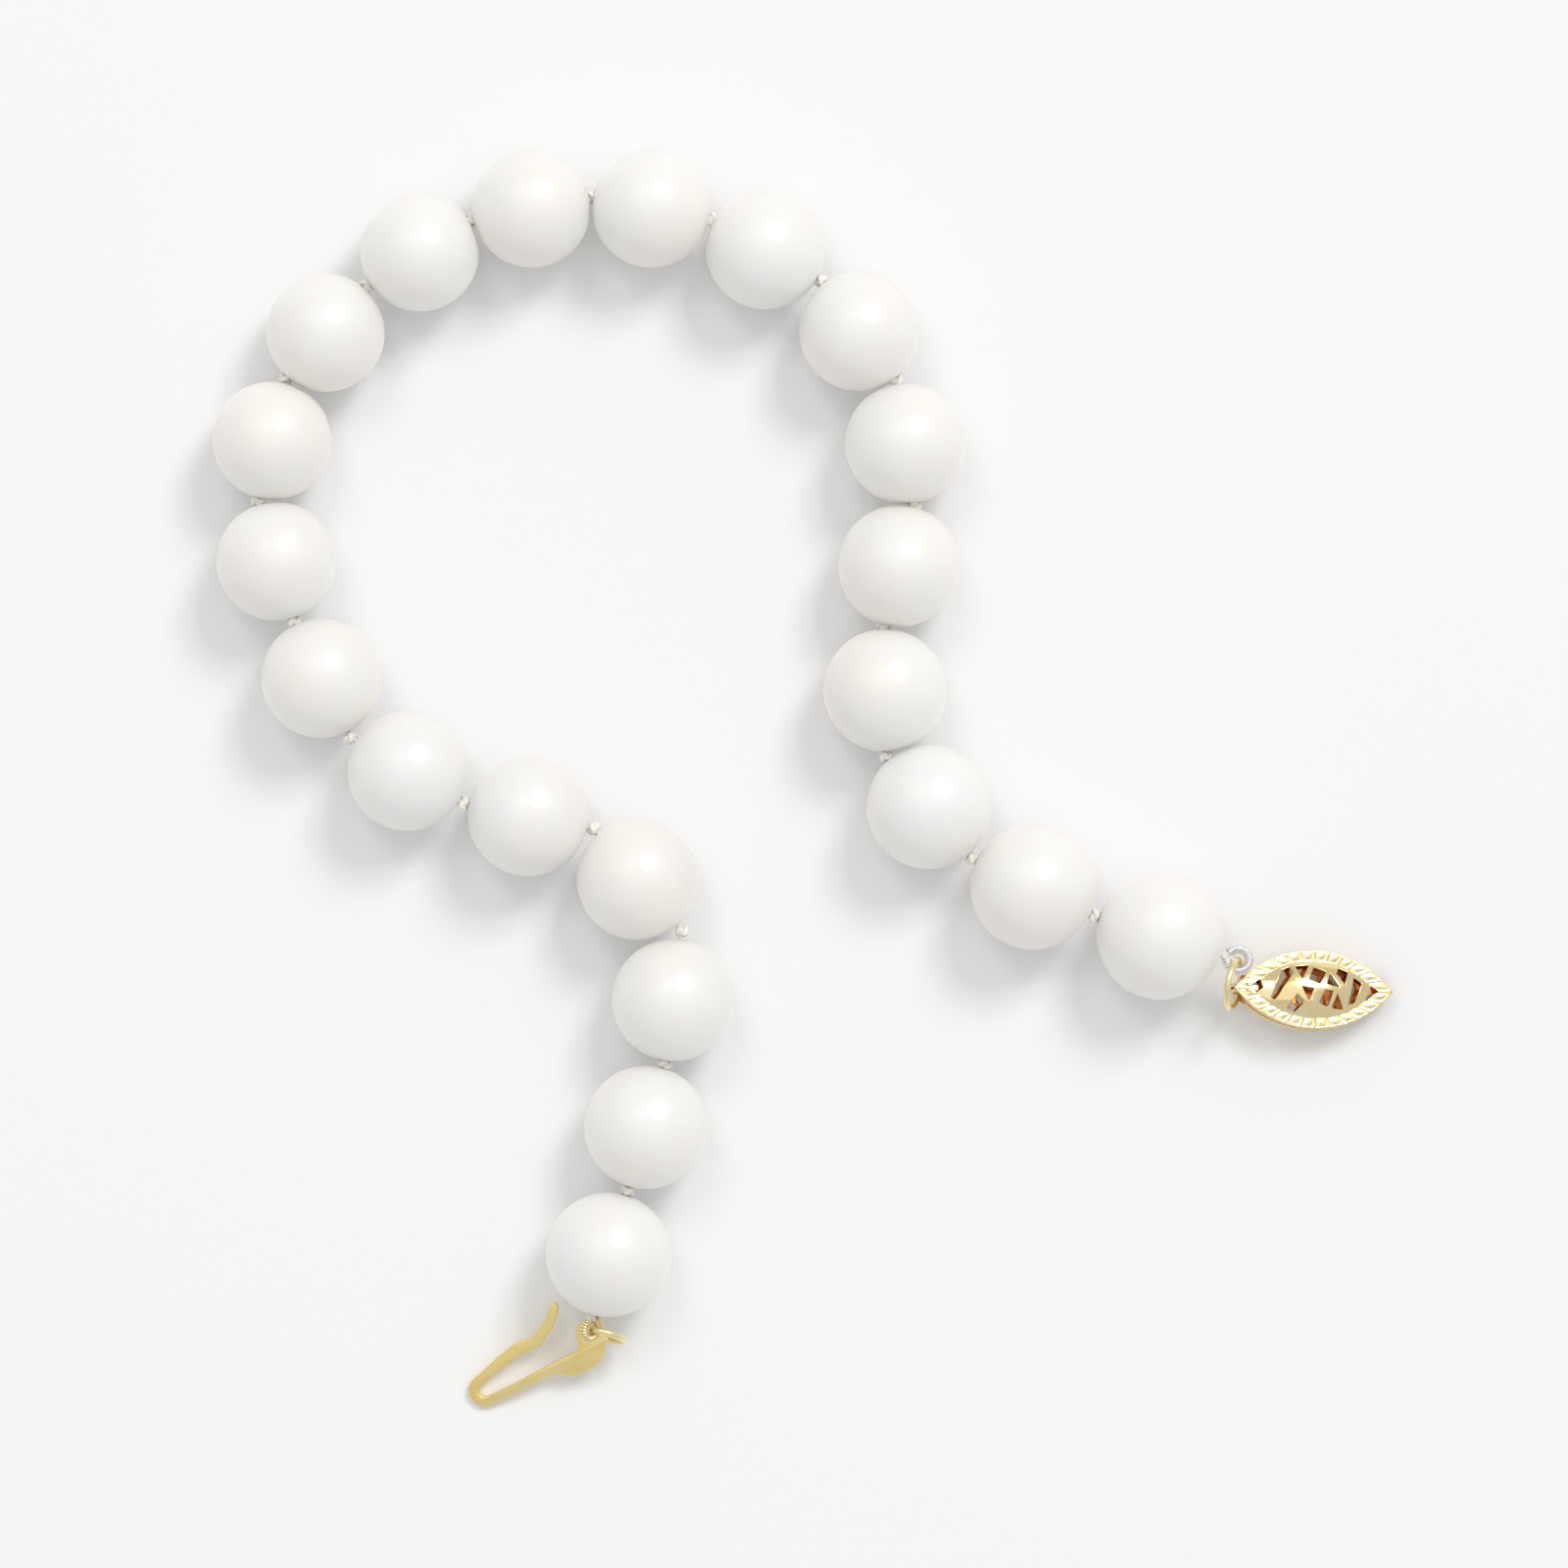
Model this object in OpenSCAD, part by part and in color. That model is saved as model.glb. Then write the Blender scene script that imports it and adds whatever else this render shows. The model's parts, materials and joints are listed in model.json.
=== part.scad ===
// Knotted pearl strand with a fishhook clasp, open and lying on a table.
// Millimetres, +Z up.  The origin is on the table, at the middle of the
// strand's outline.  Pearl 1 is at the hook end, the last at the clasp end.

/* [Pearls] */
// Diameter of the middle pearl
pearl_d = 7.95; // [7.5:0.05:9]
// How much larger the pearl at the hook end is
hook_end_growth = 0.42; // [0:0.02:0.8]
// How much larger the pearl at the clasp end is
clasp_end_growth = 0.62; // [0:0.02:0.8]
// Diameter of the hole drilled through each pearl
drill_d = 0.9; // [0.7:0.05:1.1]

/* [Silk] */
// Diameter of the silk thread
thread_d = 0.4; // [0.3:0.02:0.5]
// Diameter of each knot
knot_d = 1.05; // [0.9:0.05:1.3]
// Room left round a knot in the countersunk mouth of a hole
knot_play = 0.05; // [0.03:0.01:0.1]
// Distance between two snug pearls, over their knot
knot_gap = 0.25; // [0.25:0.05:0.6]

/* [French wire] */
// Diameter of the silver coil at the clasp end
silver_coil_d = 0.72; // [0.6:0.02:0.8]
// Radius of the silver loop, to the middle of the coil
silver_loop_r = 0.75; // [0.75:0.05:1]
// Diameter of the gold coil at the hook end
gold_coil_d = 0.66; // [0.56:0.02:0.72]
// Radius of the gold loop, to the middle of the coil
gold_loop_r = 0.66; // [0.66:0.02:0.9]
// Room between an end pearl and its loop
loop_clearance = 0.08; // [0.06:0.01:0.3]

/* [Jump rings] */
// Diameter of the wire in both jump rings
ring_wire_d = 0.45; // [0.35:0.01:0.5]
// Radius of the ring at the clasp end, to the middle of its wire
clasp_ring_r = 1.65; // [1.5:0.05:2.1]
// Radius of the ring at the hook end, to the middle of its wire
hook_ring_r = 1.35; // [1.25:0.05:1.8]

/* [Clasp] */
// Length of the pointed oval clasp body
clasp_l = 11; // [9.5:0.1:13]
// Width of the clasp body
clasp_w = 5.3; // [4.4:0.1:6.4]
// Width of the flat rim round the pierced dome
rim_w = 0.75; // [0.55:0.05:0.9]
// Height of each shell's side wall above the middle of the clasp
rim_z = 0.75; // [0.6:0.05:1]
// Height of each dome above its rim
dome_h = 0.75; // [0.5:0.05:0.9]
// Thickness of the stamped gold sheet
sheet_t = 0.28; // [0.2:0.02:0.34]
// Gap between the front and back shells
shell_gap = 0.3; // [0.2:0.05:0.4]
// Width of the mouth that the hook enters
mouth_w = 2.6; // [2.4:0.1:3.2]
// Height of the mouth
mouth_h = 0.8; // [0.7:0.05:1]
// Diameter of the latch post inside the mouth
post_d = 0.6; // [0.4:0.05:0.8]

/* [Hook] */
// Thickness of the hook's flat sheet
hook_t = 0.45; // [0.35:0.05:0.5]
// Distance from the eye to the centre of the hook's bend
hook_l = 8.25; // [7.8:0.05:9.5]
// Inner radius of the bend
bend_inner_r = 0.45; // [0.3:0.05:0.6]
// Width of the sheet round the bend
bend_w = 0.65; // [0.5:0.05:0.8]
// Diameter of the hole in the hook's eye
eye_d = 1.2; // [1.1:0.05:1.4]
// Width of the metal round the eye
eye_rim = 0.3; // [0.24:0.02:0.4]

/* [Hidden] */
$fn = 96;

// How the strand lies: the turn at each knot, in degrees, from the hook end
// to the clasp end, and the slack thread at each knot over a snug one.
BENDS = [1, 8, 49, 38, -19, -34, -10, -28, -29, -17,
         -21, -22, -18, -24, -29, -22, 15, 39, 25, 8];
SLACK = [0.35, 0.25, 0.85, 0.6, 0.45, 0.6, 0.2, 0.15, 0.15, 0.2,
         0, 0, 0, 0.25, 0.1, 0, 0, 0.35, 0.4, 0.4];
last = len(BENDS);
mid = last / 2;
mid_place = [-25.7, 35.3];
mid_heading = 32;
thread_end_room = 0.05;
seat_r = knot_d / 2 + knot_play;
least_seat = 0.05;

// Turns are [roll, pitch, heading] in degrees, applied in that order.
gold_loop_turn = [-45, 20, -85];
silver_loop_turn = [0, 4, -17];
hook_ring_turn = [-12, 0, -16];
clasp_ring_turn = [-17, 0, 80];
hook_turn = [-5, 10.5, 206];
clasp_turn = [-10, 10, -2];
// Where on each ring the loop and the metal part sit, from its own +X.
gold_loop_on_ring = 135;
eye_on_ring = -140;
silver_loop_on_ring = 0;
strap_on_ring = -100;

loop_open = 30;
core_play = 0.05;
stem_d = 0.8 * thread_d;
mouth_turn_d = 1.1 * thread_d;
strap_bore_r = ring_wire_d / 2 + 0.2;
strap_t = 0.22;
strap_bar_w = 0.24;
strap_slot_w = 0.14;
strap_w = 2 * strap_bar_w + strap_slot_w;
tongue_l = 1.3;
strap_x = -clasp_l / 2 + 0.5;
dome_l = clasp_l - 2 * rim_w * clasp_l / clasp_w;
dome_w = clasp_w - 2 * rim_w;
post_x = clasp_l / 2 - 1.9;
mouth_deep = 1.7;
bend_outer_r = bend_inner_r + bend_w;
bend_v = 0.48;

pearl_white = [0.93, 0.92, 0.9];
silk_white = [0.95, 0.93, 0.87];
gold = [0.91, 0.8, 0.47];
silver = [0.85, 0.85, 0.86];

// ---- Places along the strand ----

function two_digits(n) = n < 10 ? str("0", n) : str(n);
function along(heading) = [cos(heading), sin(heading), 0];
function pearl_r(i) =
    (pearl_d + (i < mid ? hook_end_growth : clasp_end_growth)
               * pow((i - mid) / mid, 2)) / 2;
function gap(k) = knot_gap + SLACK[k];
function reach(i, k) = pearl_r(i) + gap(k) / 2;
function heading(i) =
    i == mid ? mid_heading :
    i > mid ? heading(i - 1) + BENDS[i - 1] :
    heading(i + 1) - BENDS[i];
function centre(i) =
    i == mid ? [mid_place.x, mid_place.y, pearl_r(mid)] :
    i > mid ? on_table(knot_place(i - 1, i - 1) + along(heading(i)) * reach(i, i - 1), i) :
    on_table(knot_place(i, i + 1) - along(heading(i)) * reach(i, i), i);
// The knot k, reached from the pearl next to it that is known.
function knot_place(k, from) =
    centre(from) + along(heading(from)) * reach(from, k) * (from == k ? 1 : -1);
function on_table(p, i) = [p.x, p.y, pearl_r(i)];
function knot_centre(k) =
    let (p = k < mid ? knot_place(k, k + 1) : knot_place(k, k))
    [p.x, p.y, (pearl_r(k) + pearl_r(k + 1)) / 2];

// ---- Turning a point by [roll, pitch, heading] ----

function turn_x(v, a) = [v.x, v.y * cos(a) - v.z * sin(a), v.y * sin(a) + v.z * cos(a)];
function turn_y(v, a) = [v.x * cos(a) + v.z * sin(a), v.y, v.z * cos(a) - v.x * sin(a)];
function turn_z(v, a) = [v.x * cos(a) - v.y * sin(a), v.x * sin(a) + v.y * cos(a), v.z];
function turned(v, a) = turn_z(turn_y(turn_x(v, a.x), a.y), a.z);
function on_ring(r, angle) = [r * cos(angle), 0, r * sin(angle)];

// ---- Places along the two ends ----

gold_reach = gold_loop_r + gold_coil_d / 2 + loop_clearance;
silver_reach = silver_loop_r + silver_coil_d / 2 + loop_clearance;
hook_mouth = centre(0) - along(heading(0)) * pearl_r(0);
clasp_mouth = centre(last) + along(heading(last)) * pearl_r(last);
hook_ring_centre = hook_mouth + turned([gold_reach, 0, 0], gold_loop_turn)
    - turned(on_ring(hook_ring_r, gold_loop_on_ring), hook_ring_turn);
clasp_ring_centre = clasp_mouth + turned([silver_reach, 0, 0], silver_loop_turn)
    - turned(on_ring(clasp_ring_r, silver_loop_on_ring), clasp_ring_turn);
eye_centre = hook_ring_centre
    + turned(on_ring(hook_ring_r, eye_on_ring), hook_ring_turn);
clasp_centre = clasp_ring_centre
    + turned(on_ring(clasp_ring_r, strap_on_ring), clasp_ring_turn)
    - turned([strap_x, 0, 0], clasp_turn);

// ---- Pearls and silk ----

// A round rod from one point to another.
module rod(from, to, d) {
    run = to - from;
    level = norm([run.x, run.y]);
    translate(from)
        rotate([0, atan2(level, run.z), atan2(run.y, run.x)])
            cylinder(d = d, h = norm(run));
}

// A point short of the far end of a run by the given room.
function short_of(from, to, room) = to - (to - from) * room / norm(to - from);

// A drilled pearl, with a round seat in each mouth that meets a knot.
module pearl(i) {
    color(pearl_white)
        difference() {
            translate(centre(i)) across_strand(i) sphere(r = pearl_r(i));
            translate(centre(i))
                rotate([0, 90, heading(i)])
                    cylinder(d = drill_d, h = 3 * pearl_r(i), center = true);
            for (k = [i - 1, i])
                if (k >= 0 && k < last && seat_rim_r(k) > drill_d / 2 + least_seat)
                    knot_seat(k, i);
        }
}

// Radius of the rim where a knot's seat meets a pearl's skin.  A knot with
// slack thread lies off the pearl and needs no seat.
function seat_rim_r(k) = sqrt(max(0, pow(seat_r, 2) - pow(gap(k) / 2, 2)));

module knot_seat(k, i) {
    translate(knot_centre(k)) across_strand(i) sphere(r = seat_r);
}

// Turns a ball so that its seam is off the line of the thread.
module across_strand(i) {
    rotate([0, 0, heading(i) + 90]) children();
}

// A knot, with its thread running half way through the pearl on each side.
module silk_knot(k) {
    color(silk_white) {
        translate(knot_centre(k)) across_strand(k) sphere(d = knot_d);
        for (i = [k, k + 1])
            rod(short_of(centre(i), knot_centre(k), knot_d / 4),
                short_of(knot_centre(k), centre(i), thread_end_room), thread_d);
    }
}

// The thread from the middle of an end pearl, out of its mouth and round
// inside the French wire.
module silk_end(i, mouth, turn, loop_r, loop_reach) {
    color(silk_white) {
        rod(short_of(mouth, centre(i), thread_end_room), mouth, stem_d);
        translate(mouth) across_strand(i) sphere(d = mouth_turn_d);
        translate(mouth)
            rotate(turn) {
                rod([0, 0, 0], [loop_reach - loop_r, 0, 0], stem_d);
                translate([loop_reach, 0, 0])
                    rotate_extrude() translate([loop_r, 0]) circle(d = thread_d);
            }
    }
}

// A loop in the XY plane, open towards -X.
module open_loop(r) {
    rotate([0, 0, loop_open - 180])
        rotate_extrude(angle = 360 - 2 * loop_open)
            translate([r, 0]) children();
}

// The coil of fine wire that guards the thread, as a curved tube.
module french_wire(mouth, turn, loop_r, coil_d, loop_reach, metal) {
    color(metal)
        translate(mouth)
            rotate(turn)
                translate([loop_reach, 0, 0])
                    open_loop(loop_r)
                        difference() {
                            circle(d = coil_d);
                            circle(d = thread_d + core_play);
                        }
}

module jump_ring(place, turn, r) {
    color(gold)
        translate(place)
            rotate(turn)
                rotate([90, 0, 0])
                    rotate_extrude() translate([r, 0]) circle(d = ring_wire_d);
}

// ---- Hook ----

// The flat hook's own frame: the eye at the origin, the bend along +X, the
// spring arm on the -Y side.
module at_hook() {
    translate(eye_centre) rotate(hook_turn) children();
}

module hook_plate() {
    translate([0, 0, -hook_t / 2]) linear_extrude(hook_t) children();
}

module bend_ring(from_angle, to_angle) {
    translate([hook_l, bend_v, -hook_t / 2])
        rotate([0, 0, from_angle])
            rotate_extrude(angle = to_angle - from_angle)
                translate([bend_inner_r, 0]) square([bend_w, hook_t]);
}

// The shank widens to a square shoulder, with the eye in its outer corner.
module hook_shank() {
    color(gold)
        at_hook()
            difference() {
                union() {
                    cylinder(r = eye_d / 2 + eye_rim, h = hook_t, center = true);
                    hook_plate()
                        polygon([[hook_l, bend_v + bend_inner_r], [hook_l - 2.8, 0.88],
                                 [2.5, 0.75], [1.25, 0.8], [1, 0.6], [0.75, -0.3],
                                 [0, 0], [-0.78, 0.42], [-1.1, 0.9], [-0.45, 1.4], [-0.1, 1.9],
                                 [0.35, 2.15], [1.25, 2.25], [2.4, 2.2], [2.8, 1.85],
                                 [3.25, 1.55], [3.8, 1.45], [hook_l - 2.9, 1.55],
                                 [hook_l, bend_v + bend_outer_r]]);
                    bend_ring(-90, 90);
                }
                cylinder(d = eye_d, h = 3 * hook_t, center = true);
            }
}

// The spring arm, from the bend to its catch and rounded tip.
module hook_spring_arm() {
    color(gold)
        at_hook()
            hook_plate() {
                polygon([[hook_l, bend_v - bend_inner_r], [hook_l - 0.75, -0.15],
                         [hook_l - 2.2, -0.45], [hook_l - 3.35, -0.7],
                         [hook_l - 4, -0.68], [hook_l - 4.8, -0.57],
                         [hook_l - 5.4, -0.93], [hook_l - 6.1, -1.3],
                         [hook_l - 6.9, -2.05], [hook_l - 7.2, -2.65],
                         [hook_l - 7, -2.83], [hook_l - 6.6, -2.77],
                         [hook_l - 5.95, -2.06], [hook_l - 5.1, -1.6],
                         [hook_l - 4.65, -1.37], [hook_l - 4.3, -1.39],
                         [hook_l - 3.65, -1.56], [hook_l - 1.8, -1.2],
                         [hook_l, bend_v - bend_outer_r]]);
                translate([hook_l - 6.93, -2.6]) circle(r = 0.27);
            }
}

// ---- Clasp ----

// The clasp's own frame: its middle at the origin, the mouth at +X.
module at_clasp() {
    translate(clasp_centre) rotate(clasp_turn) children();
}

// A pointed oval block, from z = 0 up, where two round cylinders cross.
module pointed_oval(l, w, h) {
    r = (l * l + w * w) / (4 * w);
    intersection_for (side = [-1, 1])
        translate([0, side * (r - w / 2), 0]) cylinder(r = r, h = h, $fn = 360);
}

// A long spindle whose skin rises dome_h above z = 0 and meets z = 0 half
// a dome's length and half a dome's width away.
module dome_spindle(shrink) {
    half_l = dome_l / 2;
    half_w = dome_w / 2;
    drop = (half_w * half_w - dome_h * dome_h) / (2 * dome_h);
    arc_r = (half_l * half_l + dome_h * dome_h) / (2 * dome_h);
    translate([0, 0, -drop])
        rotate([0, 90, 0])
            rotate_extrude($fn = 180)
                intersection() {
                    translate([drop + dome_h - arc_r, 0]) circle(r = arc_r - shrink, $fn = 720);
                    translate([0, -clasp_l]) square([clasp_w, 2 * clasp_l]);
                }
}

// The piercings of the dome, each a flat shape with straight sides.
PIERCINGS = [
    [[-4.55, 0.1], [-3.35, 0.85], [-3.55, 0.05], [-3.95, -0.35]],
    [[-3.2, -0.75], [-2.95, -0.9], [-1.5, 1.1], [-1.85, 1.4]],
    [[-1.3, 1.45], [-0.3, 1.55], [-0.9, 0.65]],
    [[-1.2, -0.4], [-0.75, -0.95], [-1.4, -1.6], [-1.8, -1.4]],
    [[-0.9, 0.1], [-0.15, -0.05], [-0.5, -0.8]],
    [[0, 1.45], [0.8, 1.1], [0.25, 0.3], [-0.45, 0.7]],
    [[0.6, -0.15], [1.15, -0.15], [0.75, -1.15], [0.2, -0.95]],
    [[1.15, 0.95], [1.6, 0.1], [0.8, 0.3]],
    [[1.5, -0.3], [1.95, -1.4], [1.05, -1.2]],
    [[1.75, 1.4], [2.4, 1.2], [1.9, 0.35], [1.45, 1.05]],
    [[3.2, 0.85], [3.75, 0.5], [2.65, -1.15], [2.35, -0.95]],
    [[4.15, 0.3], [4.55, 0], [3.75, -0.65]]];

// One stamped shell, from the gap up to its dome.
module shell() {
    wall = sheet_t * 1.3;
    ceiling = rim_z - sheet_t;
    difference() {
        union() {
            translate([0, 0, shell_gap / 2])
                pointed_oval(clasp_l, clasp_w, rim_z - shell_gap / 2);
            above(rim_z - sheet_t / 2) translate([0, 0, rim_z]) dome_spindle(0);
        }
        translate([0, 0, -1])
            pointed_oval(clasp_l - 2 * wall * clasp_l / clasp_w, clasp_w - 2 * wall,
                         ceiling + 1);
        above(ceiling - sheet_t / 2) translate([0, 0, rim_z]) dome_spindle(sheet_t);
        for (outline = PIERCINGS) linear_extrude(clasp_w) polygon(outline);
        translate([clasp_l / 2 - mouth_deep, -mouth_w / 2, -mouth_h / 2])
            cube([2 * mouth_deep, mouth_w, mouth_h]);
        translate([strap_x, 0, 0])
            rotate([90, 0, 0]) cylinder(r = strap_bore_r + strap_t, h = clasp_w, center = true);
    }
}

// What of a shape is above a height.
module above(z) {
    intersection() {
        children();
        translate([-clasp_l, -clasp_w, z]) cube([2 * clasp_l, 2 * clasp_w, clasp_w]);
    }
}

module clasp_front_shell() {
    color(gold) at_clasp() shell();
}

module clasp_back_shell() {
    color(gold) at_clasp() mirror([0, 0, 1]) shell();
}

// The post that the hook's spring arm snaps behind, from dome to dome.
module clasp_latch_post() {
    color(gold)
        at_clasp()
            intersection() {
                translate([post_x, 0, 0]) cylinder(d = post_d, h = clasp_w, center = true);
                translate([0, 0, rim_z]) dome_spindle(sheet_t);
                mirror([0, 0, 1]) translate([0, 0, rim_z]) dome_spindle(sheet_t);
            }
}

// The strap round the jump ring, slit into two bars, and the tongue that
// holds the two shells apart and together.
module clasp_end_strap() {
    color(gold)
        at_clasp()
            difference() {
                union() {
                    translate([strap_x, 0, 0])
                        rotate([90, 0, 0])
                            cylinder(r = strap_bore_r + strap_t, h = strap_w, center = true);
                    translate([strap_x, -strap_w / 2, -shell_gap / 2])
                        cube([tongue_l, strap_w, shell_gap]);
                }
                translate([strap_x, 0, 0])
                    rotate([90, 0, 0]) cylinder(r = strap_bore_r, h = clasp_w, center = true);
                translate([strap_x - strap_bore_r - 2 * strap_t, -strap_slot_w / 2, -clasp_w / 2])
                    cube([2 * strap_bore_r + 3 * strap_t, strap_slot_w, clasp_w]);
            }
}

// ---- The assembly ----

for (i = [0 : last])
    pearl(i);
for (k = [0 : last - 1])
    silk_knot(k);
silk_end(0, hook_mouth, gold_loop_turn, gold_loop_r, gold_reach);  // silk_end_hook
silk_end(last, clasp_mouth, silver_loop_turn, silver_loop_r, silver_reach);  // silk_end_clasp
french_wire(hook_mouth, gold_loop_turn, gold_loop_r, gold_coil_d, gold_reach, gold);  // french_wire_hook
french_wire(clasp_mouth, silver_loop_turn, silver_loop_r, silver_coil_d, silver_reach,  // french_wire_clasp
                silver);
jump_ring(hook_ring_centre, hook_ring_turn, hook_ring_r);  // jump_ring_hook
jump_ring(clasp_ring_centre, clasp_ring_turn, clasp_ring_r);  // jump_ring_clasp
hook_shank();
hook_spring_arm();
clasp_front_shell();
clasp_back_shell();
clasp_latch_post();
clasp_end_strap();
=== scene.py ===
"""Knotted pearl strand with a fishhook clasp: the looks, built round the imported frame.

Shapes are worked out in millimetres, in the frame's own axes, and become metres when
they are put into a mesh.  Places come from the frame's joints and node boxes.
"""
import json
import logging
import math
from dataclasses import dataclass
from enum import Enum

import bmesh
import bpy
import numpy as np
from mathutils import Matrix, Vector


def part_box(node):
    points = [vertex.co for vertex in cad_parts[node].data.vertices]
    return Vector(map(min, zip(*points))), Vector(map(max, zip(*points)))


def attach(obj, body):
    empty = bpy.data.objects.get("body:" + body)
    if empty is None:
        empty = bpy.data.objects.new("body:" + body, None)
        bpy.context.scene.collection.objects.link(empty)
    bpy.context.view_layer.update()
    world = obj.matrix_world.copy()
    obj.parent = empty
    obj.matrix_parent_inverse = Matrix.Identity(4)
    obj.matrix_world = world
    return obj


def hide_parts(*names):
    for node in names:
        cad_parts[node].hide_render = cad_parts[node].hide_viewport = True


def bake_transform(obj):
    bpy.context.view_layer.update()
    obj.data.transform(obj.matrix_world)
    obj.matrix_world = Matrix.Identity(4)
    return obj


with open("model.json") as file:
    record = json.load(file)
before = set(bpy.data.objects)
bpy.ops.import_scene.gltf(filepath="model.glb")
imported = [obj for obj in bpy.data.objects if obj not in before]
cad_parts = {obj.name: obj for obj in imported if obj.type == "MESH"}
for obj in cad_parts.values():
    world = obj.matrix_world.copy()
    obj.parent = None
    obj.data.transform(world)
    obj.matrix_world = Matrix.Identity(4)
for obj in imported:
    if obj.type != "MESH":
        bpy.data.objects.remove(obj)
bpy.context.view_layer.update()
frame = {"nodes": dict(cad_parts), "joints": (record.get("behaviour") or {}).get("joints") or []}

LOG = logging.getLogger("strand")
MM = 0.001
TAU = 2 * math.pi
JOINTS = {joint["name"]: joint for joint in frame["joints"]}
PEARL_COUNT = sum(1 for node in frame["nodes"] if node.startswith("pearl_"))
SHARP_ANGLE = math.radians(38)


class Side(Enum):
    """Which way a stamped shell of the clasp faces."""

    FRONT = 1
    BACK = -1


class Slot(Enum):
    """The record's material slots."""

    NACRE = "pearl_nacre"
    SILK = "silk"
    SILVER_WIRE = "silver_wire"
    GOLD_WIRE = "gold_wire"
    POLISHED_GOLD = "polished_gold"
    HOOK_GOLD = "hook_gold"
    CLASP_GOLD = "clasp_gold"


# ---- Places in the frame ----


def joint_place(name: str) -> np.ndarray:
    """The point that a joint turns about.

    Args:
        name: The joint's name.

    Returns:
        The point in millimetres.
    """
    return np.array(JOINTS[name]["pos_m"], float) / MM


def unit(v: np.ndarray) -> np.ndarray:
    """Vectors scaled to length one.

    Args:
        v: The vectors, along their last axis.

    Returns:
        The scaled vectors.
    """
    return v / np.linalg.norm(v, axis=-1, keepdims=True)


def turn_matrix(roll: float, pitch: float, heading: float) -> np.ndarray:
    """The turn by roll about X, then pitch about Y, then heading about Z.

    Args:
        roll: Degrees about X.
        pitch: Degrees about Y.
        heading: Degrees about Z.

    Returns:
        A 3 by 3 matrix.
    """
    r, p, h = np.radians([roll, pitch, heading])
    about_x = np.array([[1, 0, 0], [0, np.cos(r), -np.sin(r)], [0, np.sin(r), np.cos(r)]])
    about_y = np.array([[np.cos(p), 0, np.sin(p)], [0, 1, 0], [-np.sin(p), 0, np.cos(p)]])
    about_z = np.array([[np.cos(h), -np.sin(h), 0], [np.sin(h), np.cos(h), 0], [0, 0, 1]])
    return about_z @ about_y @ about_x


@dataclass(frozen=True)
class Placing:
    """Where a sub-assembly's own axes lie in the frame."""

    origin: np.ndarray
    turn: np.ndarray

    def place(self, points: np.ndarray) -> np.ndarray:
        """Moves points into the frame's axes.

        Args:
            points: Points in the sub-assembly's own axes.

        Returns:
            The same points in the frame's axes.
        """
        return points @ self.turn.T + self.origin


# ---- Surfaces ----


@dataclass
class Surface:
    """A closed surface: points in millimetres, four-sided faces, and end caps."""

    points: np.ndarray
    quads: np.ndarray
    caps: list[np.ndarray]

    def triangles(self) -> np.ndarray:
        """Cuts every face into triangles, for measuring.

        Returns:
            The triangles' point numbers, n by 3.
        """
        parts = [self.quads[:, [0, 1, 2]], self.quads[:, [0, 2, 3]]]
        for cap in self.caps:
            fan = np.stack([np.full(len(cap) - 2, cap[0]), cap[1:-1], cap[2:]], axis=1)
            parts.append(fan)
        return np.concatenate(parts)

    def outward(self) -> "Surface":
        """Points the faces outwards, told by the signed volume.

        Returns:
            The surface, facing outwards.
        """
        a, b, c = np.moveaxis(self.points[self.triangles()], 1, 0)
        if np.einsum("ij,ij->", a, np.cross(b, c)) >= 0:
            return self
        return Surface(self.points, self.quads[:, ::-1], [cap[::-1] for cap in self.caps])

    def placed(self, placing: Placing) -> "Surface":
        """Moves the surface into the frame's axes.

        Args:
            placing: Where the sub-assembly lies.

        Returns:
            The moved surface.
        """
        return Surface(placing.place(self.points), self.quads, self.caps)

    def mesh(self, name: str) -> bpy.types.Mesh:
        """Makes a smooth-shaded mesh of the surface, in metres.

        Args:
            name: The mesh's name.

        Returns:
            The mesh.
        """
        faces = self.quads.tolist() + [cap.tolist() for cap in self.caps]
        mesh = bpy.data.meshes.new(name)
        mesh.from_pydata((self.points * MM).tolist(), [], faces)
        smooth(mesh)
        return mesh


def smooth(mesh: bpy.types.Mesh) -> None:
    """Shades a mesh smooth, with its real edges sharp.

    Args:
        mesh: The mesh to shade.
    """
    mesh.polygons.foreach_set("use_smooth", np.ones(len(mesh.polygons), bool))
    mesh.set_sharp_from_angle(angle=SHARP_ANGLE)
    mesh.update()


def skin(grid: np.ndarray, closed: bool) -> Surface:
    """Faces over a grid of rings.

    Args:
        grid: Points as rings by points round each ring by 3.
        closed: True where the last ring meets the first, False to cap both ends.

    Returns:
        The closed surface, facing outwards.
    """
    rings, around = grid.shape[:2]
    index = np.arange(rings * around).reshape(rings, around)
    one = index if closed else index[:-1]
    other = np.roll(index, -1, axis=0)[: len(one)]
    quads = np.stack(
        [one, np.roll(one, -1, axis=1), np.roll(other, -1, axis=1), other], axis=-1
    ).reshape(-1, 4)
    caps = [] if closed else [index[0][::-1], index[-1]]
    return Surface(grid.reshape(-1, 3), quads, caps).outward()


def joined(surfaces: list[Surface]) -> Surface:
    """Puts several closed surfaces together as one.

    Args:
        surfaces: The surfaces.

    Returns:
        One surface that holds them all.
    """
    starts = np.cumsum([0] + [len(s.points) for s in surfaces[:-1]])
    return Surface(
        np.concatenate([s.points for s in surfaces]),
        np.concatenate([s.quads + start for s, start in zip(surfaces, starts)]),
        [cap + start for s, start in zip(surfaces, starts) for cap in s.caps],
    )


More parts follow.
